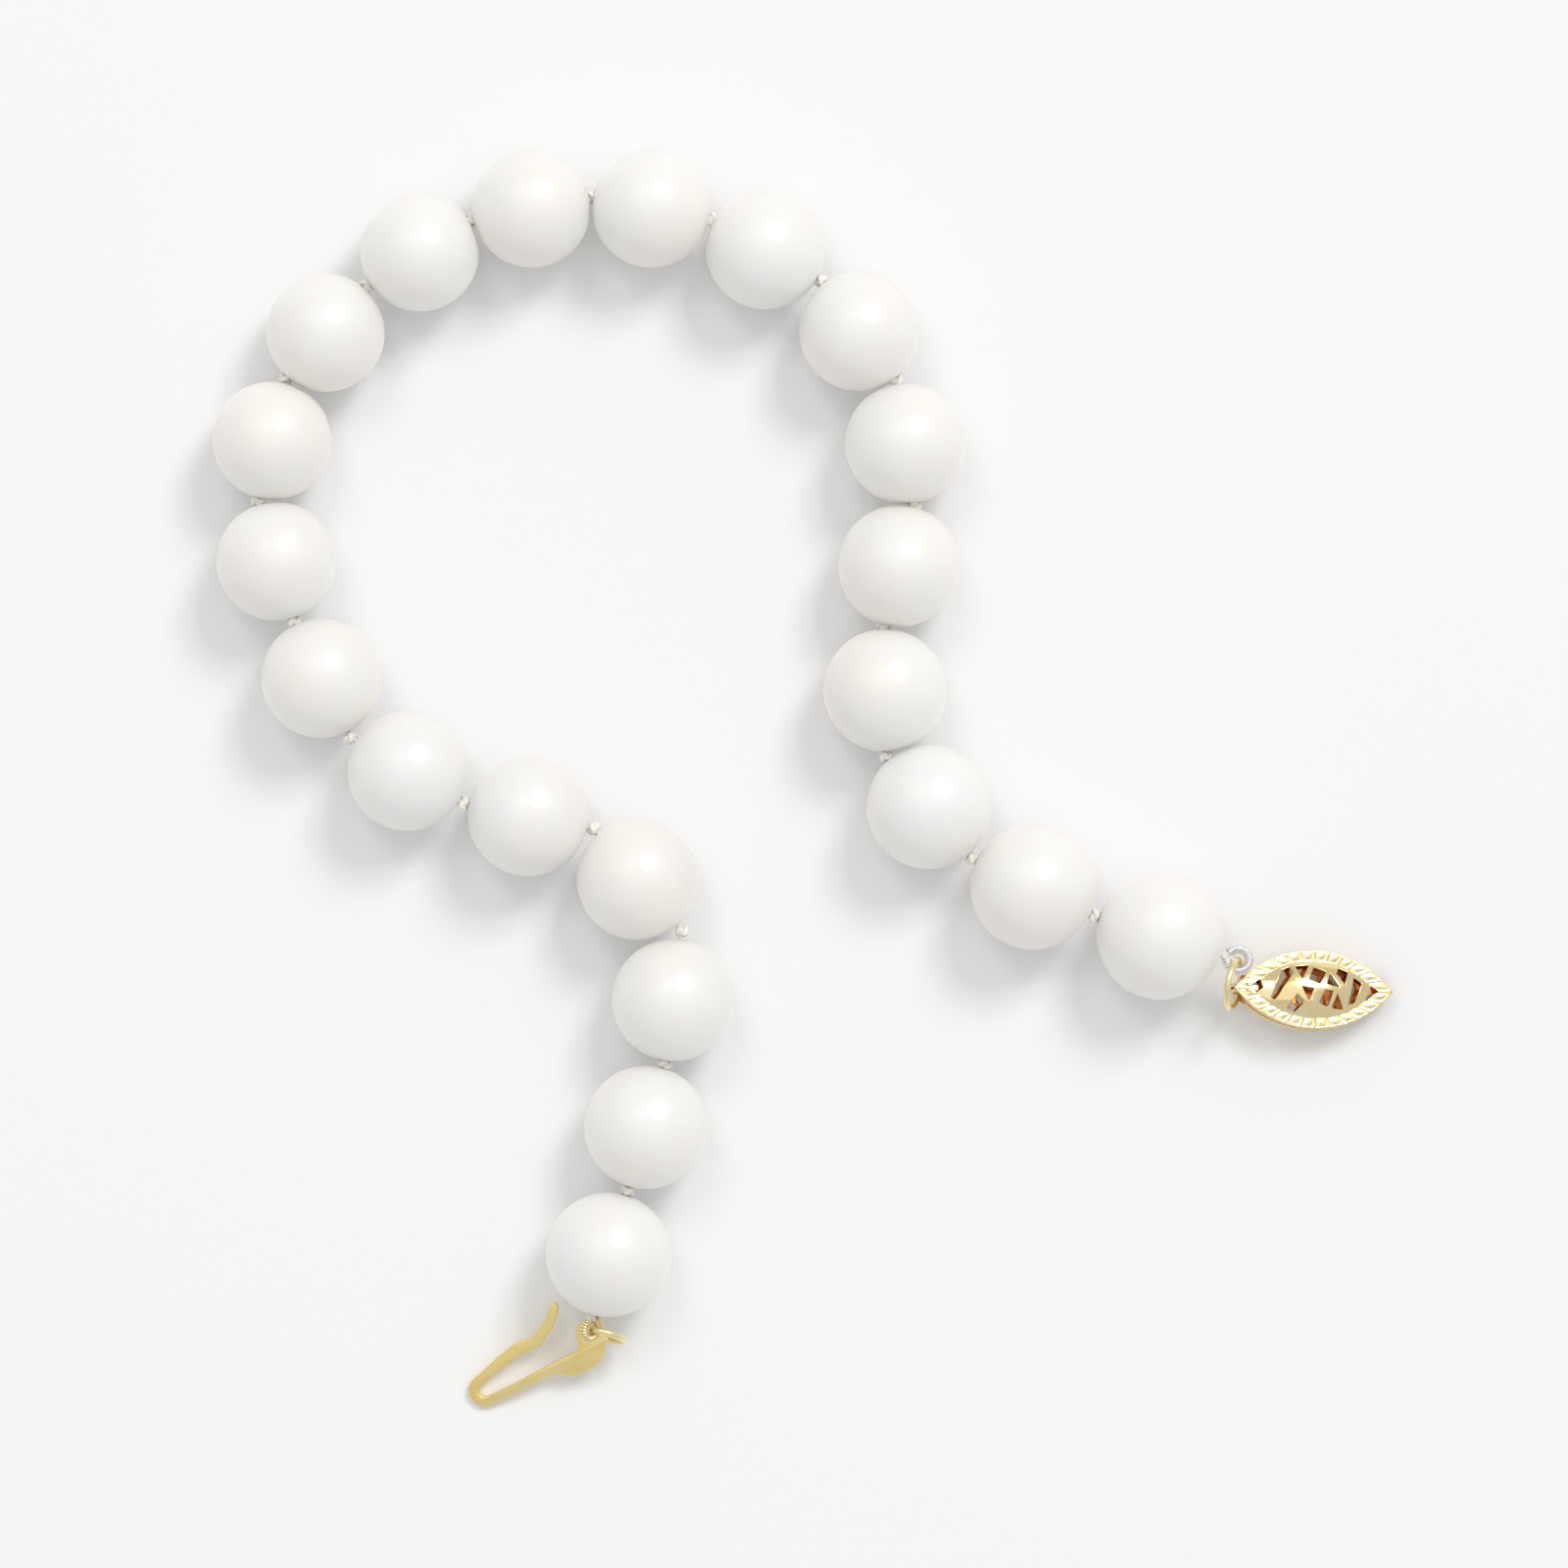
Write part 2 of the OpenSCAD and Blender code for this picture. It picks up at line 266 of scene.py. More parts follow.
def carried(path: np.ndarray, across: np.ndarray, section: np.ndarray, closed: bool) -> Surface:
    """A section carried along a path.

    A point is the path's point plus the section's first number along `across`, made
    square to the path, plus its second number square to both.

    Args:
        path: The path's points, n by 3.
        across: A direction that isn't along the path, for each point or for all.
        section: The section's points, m by 2 or n by m by 2.
        closed: True where the path's end meets its start.

    Returns:
        The closed surface.
    """
    if closed:
        along = unit(np.roll(path, -1, axis=0) - np.roll(path, 1, axis=0))
    else:
        along = unit(np.gradient(path, axis=0))
    across = np.broadcast_to(across, path.shape)
    first = unit(across - np.sum(across * along, axis=1, keepdims=True) * along)
    second = np.cross(along, first)
    section = np.broadcast_to(section, (len(path),) + section.shape[-2:])
    grid = (
        path[:, None]
        + section[..., :1] * first[:, None]
        + section[..., 1:] * second[:, None]
    )
    return skin(grid, closed)


def turned_profile(profile: np.ndarray, placing: Placing, around: int) -> Surface:
    """A closed profile of (along, out) points turned round the placing's X axis.

    Args:
        profile: The profile's points, n by 2.
        placing: Where the axis lies.
        around: How many points go round.

    Returns:
        The closed surface.
    """
    angle = np.linspace(0, TAU, around, endpoint=False)
    along, out = profile[:, :1], profile[:, 1:]
    grid = np.stack(
        [np.broadcast_to(along, (len(profile), around)), out * np.cos(angle), out * np.sin(angle)],
        axis=-1,
    )
    return skin(placing.place(grid), closed=True)


def round_section(radius: float, around: int) -> np.ndarray:
    """A circle of points.

    Args:
        radius: The circle's radius.
        around: How many points.

    Returns:
        The points, n by 2.
    """
    angle = np.linspace(0, TAU, around, endpoint=False)
    return radius * np.stack([np.cos(angle), np.sin(angle)], axis=1)


def arc(centre: tuple[float, float], radius: float, start: float, end: float,
        count: int) -> np.ndarray:
    """Points on an arc in a plane.

    Args:
        centre: The arc's centre.
        radius: Its radius.
        start: Its first angle in degrees.
        end: Its last angle in degrees.
        count: How many points.

    Returns:
        The points, n by 2.
    """
    angle = np.radians(np.linspace(start, end, count))
    return np.array(centre) + radius * np.stack([np.cos(angle), np.sin(angle)], axis=1)


def rounded_outline(corners: np.ndarray, step: float, reach: float) -> np.ndarray:
    """A closed outline with its corners eased.

    The outline is walked at equal steps, and each point becomes the average of those
    within reach, weighted by a raised cosine.

    Args:
        corners: The outline's corners, n by 2.
        step: The distance between points.
        reach: How far the averaging goes to each side.

    Returns:
        The eased outline's points.
    """
    ring = np.vstack([corners, corners[:1]])
    length = np.concatenate([[0], np.cumsum(np.linalg.norm(np.diff(ring, axis=0), axis=1))])
    count = int(length[-1] / step)
    walk = np.linspace(0, length[-1], count, endpoint=False)
    points = np.stack([np.interp(walk, length, ring[:, axis]) for axis in (0, 1)], axis=1)
    half = max(1, int(reach / step))
    weight = 0.5 + 0.5 * np.cos(np.pi * np.arange(-half, half + 1) / (half + 1))
    shifts = np.arange(-half, half + 1)
    near = points[(np.arange(count)[:, None] + shifts) % count]
    return np.einsum("k,nkj->nj", weight / weight.sum(), near)


def cut_sheet(name: str, outlines: list[np.ndarray], thickness: float,
              edge: float) -> bpy.types.Mesh:
    """A flat sheet cut to an outline with holes, with rolled edges.

    Args:
        name: The mesh's name.
        outlines: The outer outline, then the holes, each n by 2 in millimetres.
        thickness: The sheet's thickness.
        edge: The radius of its rolled edges.

    Returns:
        The mesh in millimetres, with its middle at z = 0.
    """
    curve = bpy.data.curves.new(name, "CURVE")
    curve.dimensions = "2D"
    curve.fill_mode = "BOTH"
    curve.extrude = thickness / 2 - edge
    curve.bevel_depth = edge
    curve.bevel_resolution = 3
    curve.offset = -edge
    for outline in outlines:
        spline = curve.splines.new("POLY")
        spline.points.add(len(outline) - 1)
        row = np.concatenate([outline, np.zeros((len(outline), 1)), np.ones((len(outline), 1))], 1)
        spline.points.foreach_set("co", row.ravel())
        spline.use_cyclic_u = True
    holder = bpy.data.objects.new(name + "_curve", curve)
    bpy.context.scene.collection.objects.link(holder)
    graph = bpy.context.evaluated_depsgraph_get()
    mesh = bpy.data.meshes.new_from_object(holder.evaluated_get(graph))
    bpy.data.objects.remove(holder)
    bpy.data.curves.remove(curve)
    work = bmesh.new()
    work.from_mesh(mesh)
    bmesh.ops.remove_doubles(work, verts=work.verts, dist=1e-4)
    bmesh.ops.recalc_face_normals(work, faces=work.faces)
    if work.calc_volume(signed=True) < 0:
        bmesh.ops.reverse_faces(work, faces=work.faces)
    work.to_mesh(mesh)
    work.free()
    return mesh


def points_of(mesh: bpy.types.Mesh) -> np.ndarray:
    """Reads a mesh's points.

    Args:
        mesh: The mesh.

    Returns:
        The points, n by 3.
    """
    points = np.empty(len(mesh.vertices) * 3, np.float32)
    mesh.vertices.foreach_get("co", points)
    return points.reshape(-1, 3).astype(float)


def set_points(mesh: bpy.types.Mesh, points: np.ndarray) -> None:
    """Puts points back into a mesh.

    Args:
        mesh: The mesh.
        points: As many points as it has, n by 3.
    """
    mesh.vertices.foreach_set("co", points.astype(np.float32).ravel())
    mesh.update()


def less(mesh: bpy.types.Mesh, cutters: list[Surface]) -> bpy.types.Mesh:
    """A mesh with closed shapes cut out of it.

    Args:
        mesh: The mesh to cut, in millimetres.
        cutters: The shapes to take away.

    Returns:
        The cut mesh.
    """
    whole = bpy.data.objects.new("whole", mesh)
    bpy.context.scene.collection.objects.link(whole)
    holders = []
    for cutter in cutters:
        shape = cutter.mesh("cutter")
        set_points(shape, cutter.points)
        holder = bpy.data.objects.new("cutter", shape)
        bpy.context.scene.collection.objects.link(holder)
        holders.append(holder)
        cut = whole.modifiers.new("cut", "BOOLEAN")
        cut.operation = "DIFFERENCE"
        cut.solver = "EXACT"
        cut.object = holder
    graph = bpy.context.evaluated_depsgraph_get()
    result = bpy.data.meshes.new_from_object(whole.evaluated_get(graph))
    for holder in holders + [whole]:
        bpy.data.objects.remove(holder)
    return result


def one_mesh(name: str, meshes: list[bpy.types.Mesh]) -> bpy.types.Mesh:
    """Puts several meshes together as one.

    Args:
        name: The new mesh's name.
        meshes: The meshes.

    Returns:
        The mesh that holds them all, smooth-shaded.
    """
    work = bmesh.new()
    for mesh in meshes:
        work.from_mesh(mesh)
    result = bpy.data.meshes.new(name)
    work.to_mesh(result)
    work.free()
    smooth(result)
    return result


def add_piece(name: str, mesh: bpy.types.Mesh, finish: "Finish",
              replaces: tuple[str, ...] = ()) -> bpy.types.Object:
    """Makes a visible piece of a finished mesh, and dresses it.

    Args:
        name: The piece's name.
        mesh: Its mesh, in place.
        finish: Its finish.
        replaces: The frame's nodes that it stands for.

    Returns:
        The piece.
    """
    piece = bpy.data.objects.new(name, mesh)
    bpy.context.scene.collection.objects.link(piece)
    mesh.materials.clear()
    mesh.materials.append(finish.material())
    if replaces:
        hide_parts(*replaces)
    LOG.info("%s: %d points, %s, stands for %s", name, len(mesh.vertices),
             finish.name, ", ".join(replaces) or "no node of its own")
    return piece


def set_attribute(mesh: bpy.types.Mesh, name: str, values: np.ndarray) -> None:
    """Gives each point of a mesh a number that its finish reads.

    Args:
        mesh: The mesh.
        name: The number's name.
        values: One number for each point.
    """
    layer = mesh.attributes.new(name, "FLOAT", "POINT")
    layer.data.foreach_set("value", values.astype(np.float32))


# ---- Finishes ----


def new_group(name: str, inputs: dict[str, float], outputs: tuple[str, ...]
              ) -> tuple[bpy.types.NodeTree, bpy.types.Node, bpy.types.Node]:
    """An empty shader group with float inputs.

    Args:
        name: The group's name.
        inputs: Each input's name and default.
        outputs: The outputs' names.

    Returns:
        The group, its input node and its output node.
    """
    group = bpy.data.node_groups.new(name, "ShaderNodeTree")
    for label, default in inputs.items():
        socket = group.interface.new_socket(label, in_out="INPUT", socket_type="NodeSocketFloat")
        socket.default_value = default
    for label in outputs:
        group.interface.new_socket(label, in_out="OUTPUT", socket_type="NodeSocketFloat")
    return group, group.nodes.new("NodeGroupInput"), group.nodes.new("NodeGroupOutput")


def math_node(nodes: bpy.types.Nodes, links: bpy.types.NodeLinks, kind: str,
              one: bpy.types.NodeSocket | float,
              two: bpy.types.NodeSocket | float) -> bpy.types.NodeSocket:
    """A Math node fed by sockets or numbers.

    Args:
        nodes: The tree's nodes.
        links: The tree's links.
        kind: The operation.
        one: The first socket or number.
        two: The second socket or number.

    Returns:
        The node's output socket.
    """
    node = nodes.new("ShaderNodeMath")
    node.operation = kind
    for socket, value in zip(node.inputs, (one, two)):
        if isinstance(value, bpy.types.NodeSocket):
            links.new(value, socket)
        else:
            socket.default_value = value
    return node.outputs[0]


def mottle_group() -> bpy.types.NodeTree:
    """The group that gives slow blotches and fine grain, both about a half.

    Returns:
        The group, made once.
    """
    found = bpy.data.node_groups.get("mottle")
    if found:
        return found
    group, source, sink = new_group(
        "mottle", {"Blotch Scale": 150.0, "Grain Scale": 2500.0}, ("Blotch", "Grain"))
    nodes, links = group.nodes, group.links
    place = nodes.new("ShaderNodeTexCoord")
    for label, detail in (("Blotch", 2.0), ("Grain", 4.0)):
        noise = nodes.new("ShaderNodeTexNoise")
        noise.inputs["Detail"].default_value = detail
        links.new(place.outputs["Object"], noise.inputs["Vector"])
        links.new(source.outputs[label + " Scale"], noise.inputs["Scale"])
        links.new(noise.outputs["Fac"], sink.inputs[label])
    return group


def polish_group() -> bpy.types.NodeTree:
    """The group that gives polishing lines and worn patches on metal.

    Returns:
        The group, made once.
    """
    found = bpy.data.node_groups.get("polish")
    if found:
        return found
    group, source, sink = new_group(
        "polish", {"Line Scale": 3000.0, "Patch Scale": 500.0}, ("Lines", "Patches"))
    nodes, links = group.nodes, group.links
    place = nodes.new("ShaderNodeTexCoord")
    stretch = nodes.new("ShaderNodeMapping")
    stretch.inputs["Rotation"].default_value = (0, 0, 0.6)
    stretch.inputs["Scale"].default_value = (0.12, 1, 1)
    links.new(place.outputs["Object"], stretch.inputs["Vector"])
    lines = nodes.new("ShaderNodeTexNoise")
    lines.inputs["Detail"].default_value = 5.0
    links.new(stretch.outputs["Vector"], lines.inputs["Vector"])
    links.new(source.outputs["Line Scale"], lines.inputs["Scale"])
    patches = nodes.new("ShaderNodeTexNoise")
    patches.inputs["Detail"].default_value = 3.0
    links.new(place.outputs["Object"], patches.inputs["Vector"])
    links.new(source.outputs["Patch Scale"], patches.inputs["Scale"])
    links.new(lines.outputs["Fac"], sink.inputs["Lines"])
    links.new(patches.outputs["Fac"], sink.inputs["Patches"])
    return group


@dataclass(frozen=True)
class Finish:
    """What every finish has: a name and the record's slot."""

    name: str
    slot: Slot

    def material(self) -> bpy.types.Material:
        """The finish's material.

        Returns:
            The material, made once.
        """
        found = bpy.data.materials.get(self.name)
        return found or self.build()

    def build(self) -> bpy.types.Material:
        """Makes the material.

        Returns:
            The new material.
        """
        raise NotImplementedError

    def start(self) -> tuple[bpy.types.Material, bpy.types.Nodes, bpy.types.NodeLinks,
                             bpy.types.Node]:
        """A new material with a Principled shader.

        Returns:
            The material, its nodes, its links and its shader.
        """
        made = bpy.data.materials.new(self.name)
        made.use_nodes = True
        tree = made.node_tree
        return made, tree.nodes, tree.links, tree.nodes["Principled BSDF"]

    @staticmethod
    def place_group(nodes: bpy.types.Nodes, group: bpy.types.NodeTree,
                    values: dict[str, float]) -> bpy.types.Node:
        """Puts a group into a material with its values.

        Args:
            nodes: The material's nodes.
            group: The group.
            values: Each input's name and value.

        Returns:
            The group's node.
        """
        node = nodes.new("ShaderNodeGroup")
        node.node_tree = group
        for label, value in values.items():
            node.inputs[label].default_value = value
        return node

    @staticmethod
    def blend_colours(nodes: bpy.types.Nodes, links: bpy.types.NodeLinks,
                      mask: bpy.types.NodeSocket, low: bpy.types.NodeSocket | tuple,
                      high: bpy.types.NodeSocket | tuple) -> bpy.types.NodeSocket:
        """Mixes two colours by a mask.

        Args:
            nodes: The material's nodes.
            links: The material's links.
            mask: The mask's socket.
            low: The colour, or its socket, where the mask is 0.
            high: The colour, or its socket, where the mask is 1.

        Returns:
            The mixed colour's socket.
        """
        mix = nodes.new("ShaderNodeMix")
        mix.data_type = "RGBA"
        links.new(mask, mix.inputs["Factor"])
        for socket, colour in ((mix.inputs[6], low), (mix.inputs[7], high)):
            if isinstance(colour, bpy.types.NodeSocket):
                links.new(colour, socket)
            else:
                socket.default_value = (*colour, 1)
        return mix.outputs[2]

    @staticmethod
    def spread(nodes: bpy.types.Nodes, links: bpy.types.NodeLinks,
               value: bpy.types.NodeSocket, low: float, high: float, to_low: float,
               to_high: float) -> bpy.types.NodeSocket:
        """Stretches a value's range to another.

        Args:
            nodes: The material's nodes.
            links: The material's links.
            value: The value's socket.
            low: The range's low end.
            high: The range's high end.
            to_low: What the low end becomes.
            to_high: What the high end becomes.

        Returns:
            The stretched value's socket.
        """
        node = nodes.new("ShaderNodeMapRange")
        links.new(value, node.inputs["Value"])
        for label, number in (("From Min", low), ("From Max", high),
                              ("To Min", to_low), ("To Max", to_high)):
            node.inputs[label].default_value = number
        return node.outputs["Result"]

    @staticmethod
    def bump(nodes: bpy.types.Nodes, links: bpy.types.NodeLinks,
             height: bpy.types.NodeSocket, shader: bpy.types.Node, strength: float,
             depth: float) -> None:
        """Roughens a shader's normal by a height.

        Args:
            nodes: The material's nodes.
            links: The material's links.
            height: The height's socket.
            shader: The shader.
            strength: The bump's strength.
            depth: The bump's depth in metres.
        """
        node = nodes.new("ShaderNodeBump")
        node.inputs["Strength"].default_value = strength
        node.inputs["Distance"].default_value = depth
        links.new(height, node.inputs["Height"])
        links.new(node.outputs["Normal"], shader.inputs["Normal"])


@dataclass(frozen=True)
class Nacre(Finish):
    """White nacre: a satin body under a soft clear layer, with faint overtones."""

    name: str = "white_nacre"
    slot: Slot = Slot.NACRE
    cream: tuple = (0.9, 0.865, 0.815)
    cool: tuple = (0.865, 0.885, 0.865)
    rose: tuple = (0.9, 0.845, 0.825)
    glow: float = 0.4
    glow_mm: float = 1.6

    def build(self) -> bpy.types.Material:
        """Mixes three overtones by slow blotches and by each pearl's own number.

        Returns:
            The new material.
        """
        made, nodes, links, shader = self.start()
        mottle = self.place_group(nodes, mottle_group(),
                                  {"Blotch Scale": 170.0, "Grain Scale": 1400.0})
        own = nodes.new("ShaderNodeAttribute")
        own.attribute_name = "overtone"
        blotch = self.spread(nodes, links, mottle.outputs["Blotch"], 0.35, 0.65, 0, 1)
        own_mask = self.spread(nodes, links, own.outputs["Fac"], 0, 1, -0.35, 0.35)
        mask = math_node(nodes, links, "ADD", blotch, own_mask)
        cool_cream = self.blend_colours(nodes, links, mask, self.cool, self.cream)
        rosy = self.spread(nodes, links, mottle.outputs["Grain"], 0.3, 0.7, 0, 0.35)
        colour = self.blend_colours(nodes, links, rosy, cool_cream, self.rose)
        links.new(colour, shader.inputs["Base Color"])
        rough = self.spread(nodes, links, mottle.outputs["Grain"], 0.3, 0.7, 0.36, 0.44)
        links.new(rough, shader.inputs["Roughness"])
        shader.inputs["IOR"].default_value = 1.53
        shader.inputs["Coat Weight"].default_value = 0.6
        shader.inputs["Coat Roughness"].default_value = 0.4
        shader.inputs["Coat IOR"].default_value = 1.5
        shader.inputs["Sheen Weight"].default_value = 0.6
        shader.inputs["Sheen Roughness"].default_value = 0.5
        shader.inputs["Sheen Tint"].default_value = (1, 0.96, 0.92, 1)
        shader.inputs["Subsurface Weight"].default_value = self.glow
        shader.inputs["Subsurface Radius"].default_value = (1, 1, 1)
        shader.inputs["Subsurface Scale"].default_value = self.glow_mm * MM
        self.bump(nodes, links, mottle.outputs["Grain"], shader, 0.05, 0.00003)
        return made


@dataclass(frozen=True)
class Silk(Finish):
    """Off-white silk: matt, with a soft sheen and fibres that follow the thread."""

    name: str = "white_silk"
    slot: Slot = Slot.SILK
    fibre: tuple = (0.95, 0.925, 0.87)
    # Painted shade: the darker colour that the creases between the plies are painted with.
    painted_crease_shade: tuple = (0.85, 0.81, 0.73)

    def build(self) -> bpy.types.Material:
        """Paints shade into the creases between plies, told by the thread's own crease number.

        Returns:
            The new material.
        """
        made, nodes, links, shader = self.start()
        mottle = self.place_group(nodes, mottle_group(),
                                  {"Blotch Scale": 900.0, "Grain Scale": 9000.0})
        crease = nodes.new("ShaderNodeAttribute")
        crease.attribute_name = "crease"
        # Painted shade: the crease number mixes the fibre colour towards the darker crease colour.
        colour = self.blend_colours(nodes, links, crease.outputs["Fac"], self.fibre, self.painted_crease_shade)
        links.new(colour, shader.inputs["Base Color"])
        rough = self.spread(nodes, links, mottle.outputs["Blotch"], 0.3, 0.7, 0.55, 0.75)
        links.new(rough, shader.inputs["Roughness"])
        shader.inputs["Sheen Weight"].default_value = 0.5
        shader.inputs["Sheen Roughness"].default_value = 0.4
        self.bump(nodes, links, mottle.outputs["Grain"], shader, 0.35, 0.00003)
        return made


@dataclass(frozen=True)
class Metal(Finish):
    """Polished or brushed metal, with polishing lines, worn patches, and painted shade and painted
    reflection where it faces a hollow.
    """

    name: str = "polished_gold"
    slot: Slot = Slot.POLISHED_GOLD
    face: tuple = (0.95, 0.76, 0.36)
    worn: tuple = (0.97, 0.83, 0.5)
    # Painted shade and painted reflection: the darker, deeper colour given to surfaces that face a
    # hollow.
    inside: tuple = (0.62, 0.2, 0.045)
    smoothest: float = 0.14
    roughest: float = 0.26
    line_depth: float = 0.000004
    line_strength: float = 0.12

    def build(self) -> bpy.types.Material:
        """Mixes face and worn colours by patches, then the painted shade and reflection of a hollow
        by the piece's own number.

        Returns:
            The new material.
        """
        made, nodes, links, shader = self.start()
        polish = self.place_group(nodes, polish_group(),
                                  {"Line Scale": 4200.0, "Patch Scale": 420.0})
        patches = self.spread(nodes, links, polish.outputs["Patches"], 0.35, 0.65, 0, 1)
        outside = self.blend_colours(nodes, links, patches, self.face, self.worn)
        # Painted shade and reflection: this attribute mixes in the hollow's darker, deeper colour.
        depth = nodes.new("ShaderNodeAttribute")
        depth.attribute_name = "inside"
        colour = self.blend_colours(nodes, links, depth.outputs["Fac"], outside, self.inside)
        links.new(colour, shader.inputs["Base Color"])
        rough = self.spread(nodes, links, polish.outputs["Lines"], 0.3, 0.7,
                            self.smoothest, self.roughest)
        links.new(rough, shader.inputs["Roughness"])
        shader.inputs["Metallic"].default_value = 1.0
        self.bump(nodes, links, polish.outputs["Lines"], shader,
                  self.line_strength, self.line_depth)
        return made


NACRE = Nacre()
SILK = Silk()
RING_GOLD = Metal()
COIL_GOLD = Metal(name="coiled_gold_wire", slot=Slot.GOLD_WIRE)
# The silver's darker colour for a hollow is painted shade and reflection too.
COIL_SILVER = Metal(name="coiled_silver_wire", slot=Slot.SILVER_WIRE,
                    face=(0.95, 0.95, 0.96), worn=(0.98, 0.98, 0.98), inside=(0.4, 0.4, 0.41))
HOOK_GOLD = Metal(name="brushed_sheet_gold", slot=Slot.HOOK_GOLD, face=(0.95, 0.74, 0.27),
                  worn=(0.97, 0.8, 0.38), smoothest=0.26, roughest=0.4, line_strength=0.3)
CLASP_GOLD = Metal(name="stamped_gold", slot=Slot.CLASP_GOLD, smoothest=0.12, roughest=0.24)


# ---- Pearls and silk ----


def strand_points() -> list[np.ndarray]:
    """The points that the thread passes, from the hook end's mouth to the clasp end's.

    Returns:
        The two mouths, with the knots' middles between them.
    """
    knots = [joint_place(f"knot_{k:02d}_sideways") for k in range(1, PEARL_COUNT)]
    return [joint_place("hook_wire_lift")] + knots + [joint_place("clasp_wire_lift")]


@dataclass
class Pearl:
    """A drilled pearl, with a round seat in each mouth that meets a snug knot."""

    number: int
    before: np.ndarray
    after: np.ndarray
    drill_r: float = 0.45
    seat_r: float = 0.575
    least_seat: float = 0.05
    mouth_ease: float = 0.05
    around: int = 112
    skin_points: int = 88
    seat_points: int = 7
    waviness: float = 0.004
    wave_step: float = 1.7
    wave_rate: float = 2.1
    wave_shares: tuple = (1.0, 1.4, 1.2)
    skin_share: float = 0.98

    def __post_init__(self) -> None:
        """Works out the radius and the axes from the frame."""
        low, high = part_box(self.node)
        self.radius = (high.z - low.z) / 2 / MM
        middle = np.array(low + high) / 2 / MM
        ahead = unit((self.after - self.before) * np.array([1, 1, 0]))
        up = np.array([0.0, 0.0, 1.0])
        self.placing = Placing(middle, np.stack([ahead, np.cross(up, ahead), up], axis=1))

    @property
    def node(self) -> str:
        """The frame's node and body, which share a name.

        Returns:
            The name.
        """
        return f"pearl_{self.number:02d}"

    def mouth(self, knot_away: float) -> tuple[np.ndarray, float]:
        """One mouth's seat, from the pearl's skin in to the drilled hole.

        Args:
            knot_away: Distance from the pearl's middle to the knot's.

        Returns:
            The seat's (along, out) points, and the radius of its rim.
        """
        toward = (knot_away**2 + self.radius**2 - self.seat_r**2) / (2 * knot_away)
        rim = math.sqrt(max(0.0, self.radius**2 - toward**2))
        if rim < self.drill_r + self.least_seat:
            ease = np.radians(np.linspace(0, 90, self.seat_points))
            rim = self.drill_r + self.mouth_ease
            edge = math.sqrt(self.radius**2 - rim**2)
            along = edge - self.mouth_ease * (1 - np.cos(ease))
            return np.stack([along, rim - self.mouth_ease * np.sin(ease)], axis=1), rim
        angle = np.linspace(math.asin(rim / self.seat_r), math.asin(self.drill_r / self.seat_r),
                            self.seat_points)
        return np.stack([knot_away - self.seat_r * np.cos(angle),
                         self.seat_r * np.sin(angle)], axis=1), rim

    def profile(self) -> np.ndarray:
        """The closed profile: over the skin, in at one mouth and out at the other.

        Returns:
            The profile's (along, out) points.
        """
        middle = self.placing.origin
        ahead, rim_ahead = self.mouth(float(np.linalg.norm(self.after - middle)))
        behind, rim_behind = self.mouth(float(np.linalg.norm(self.before - middle)))
        behind = behind * np.array([-1, 1])
        angle = np.linspace(math.pi - math.asin(rim_behind / self.radius),
                            math.asin(rim_ahead / self.radius), self.skin_points)[1:-1]
        over = self.radius * np.stack([np.cos(angle), np.sin(angle)], axis=1)
        return np.vstack([over, ahead, behind[::-1]])

    def surface(self) -> Surface:
        """The pearl, drawn in here and there by slow waves so that it isn't a true ball.

        Returns:
            The pearl's surface.
        """
        made = turned_profile(self.profile(), self.placing, self.around)
        offset = made.points - self.placing.origin
        away = np.linalg.norm(offset, axis=1, keepdims=True)
        phase = self.wave_step * self.number
        wave = sum(np.sin(f * unit(offset)[:, axis] * self.wave_rate + phase * (axis + 1))
                   for axis, f in enumerate(self.wave_shares))
        on_skin = away[:, 0] > self.radius * self.skin_share
        pull = self.waviness * (0.5 + wave / 6) * on_skin
        made.points = self.placing.origin + offset * (1 - pull[:, None])
        return made

    def dress(self, tone: float) -> bpy.types.Object:
        """Makes the pearl's piece.

        Args:
            tone: The pearl's own overtone, from 0 to 1.

        Returns:
            The piece.
        """
        mesh = self.surface().mesh(self.node + "_nacre")
        set_attribute(mesh, "overtone", np.full(len(mesh.vertices), tone))
        piece = add_piece(self.node + "_nacre", mesh, NACRE, (self.node,))
        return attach(piece, self.node)


@dataclass
class SilkThread:
    """Plied silk: lobes round the thread, one for each ply, that twist along it."""

    radius: float = 0.2
    plies: int = 3
    lobe: float = 0.15
    around: int = 24

    def lobes(self, twist: np.ndarray) -> tuple[np.ndarray, np.ndarray]:
        """The twisted section at each point of a path.

        A ply's lobe is the absolute cosine of the angle round the thread, which falls
        to a crease between two plies.

        Args:
            twist: The twist at each point of the path, in radians.

        Returns:
            The sections, n by m by 2, and how deep in a crease each point is, n by m, which the
            silk's finish uses to paint shade into the creases.
        """
        angle = np.linspace(0, TAU, self.around, endpoint=False)
        round_ply = np.abs(np.cos(self.plies / 2 * (angle + twist[:, None])))
        radius = self.radius * (1 - self.lobe * (1 - round_ply**0.7))
        section = radius[..., None] * np.stack([np.cos(angle), np.sin(angle)], axis=1)
        return section, 1 - round_ply

    def run(self, path: np.ndarray, across: np.ndarray, closed: bool,
            turns: int) -> tuple[Surface, np.ndarray]:
        """Thread along a path.

        Args:
            path: The path's points.
            across: A direction that isn't along the path.
            closed: True where the path's end meets its start.
            turns: How many times the plies go round.

        Returns:
            The thread's surface and its creases.
        """
        twist = np.linspace(0, turns * TAU, len(path), endpoint=not closed)
        section, crease = self.lobes(twist)
        return carried(path, across, section, closed), crease.ravel()


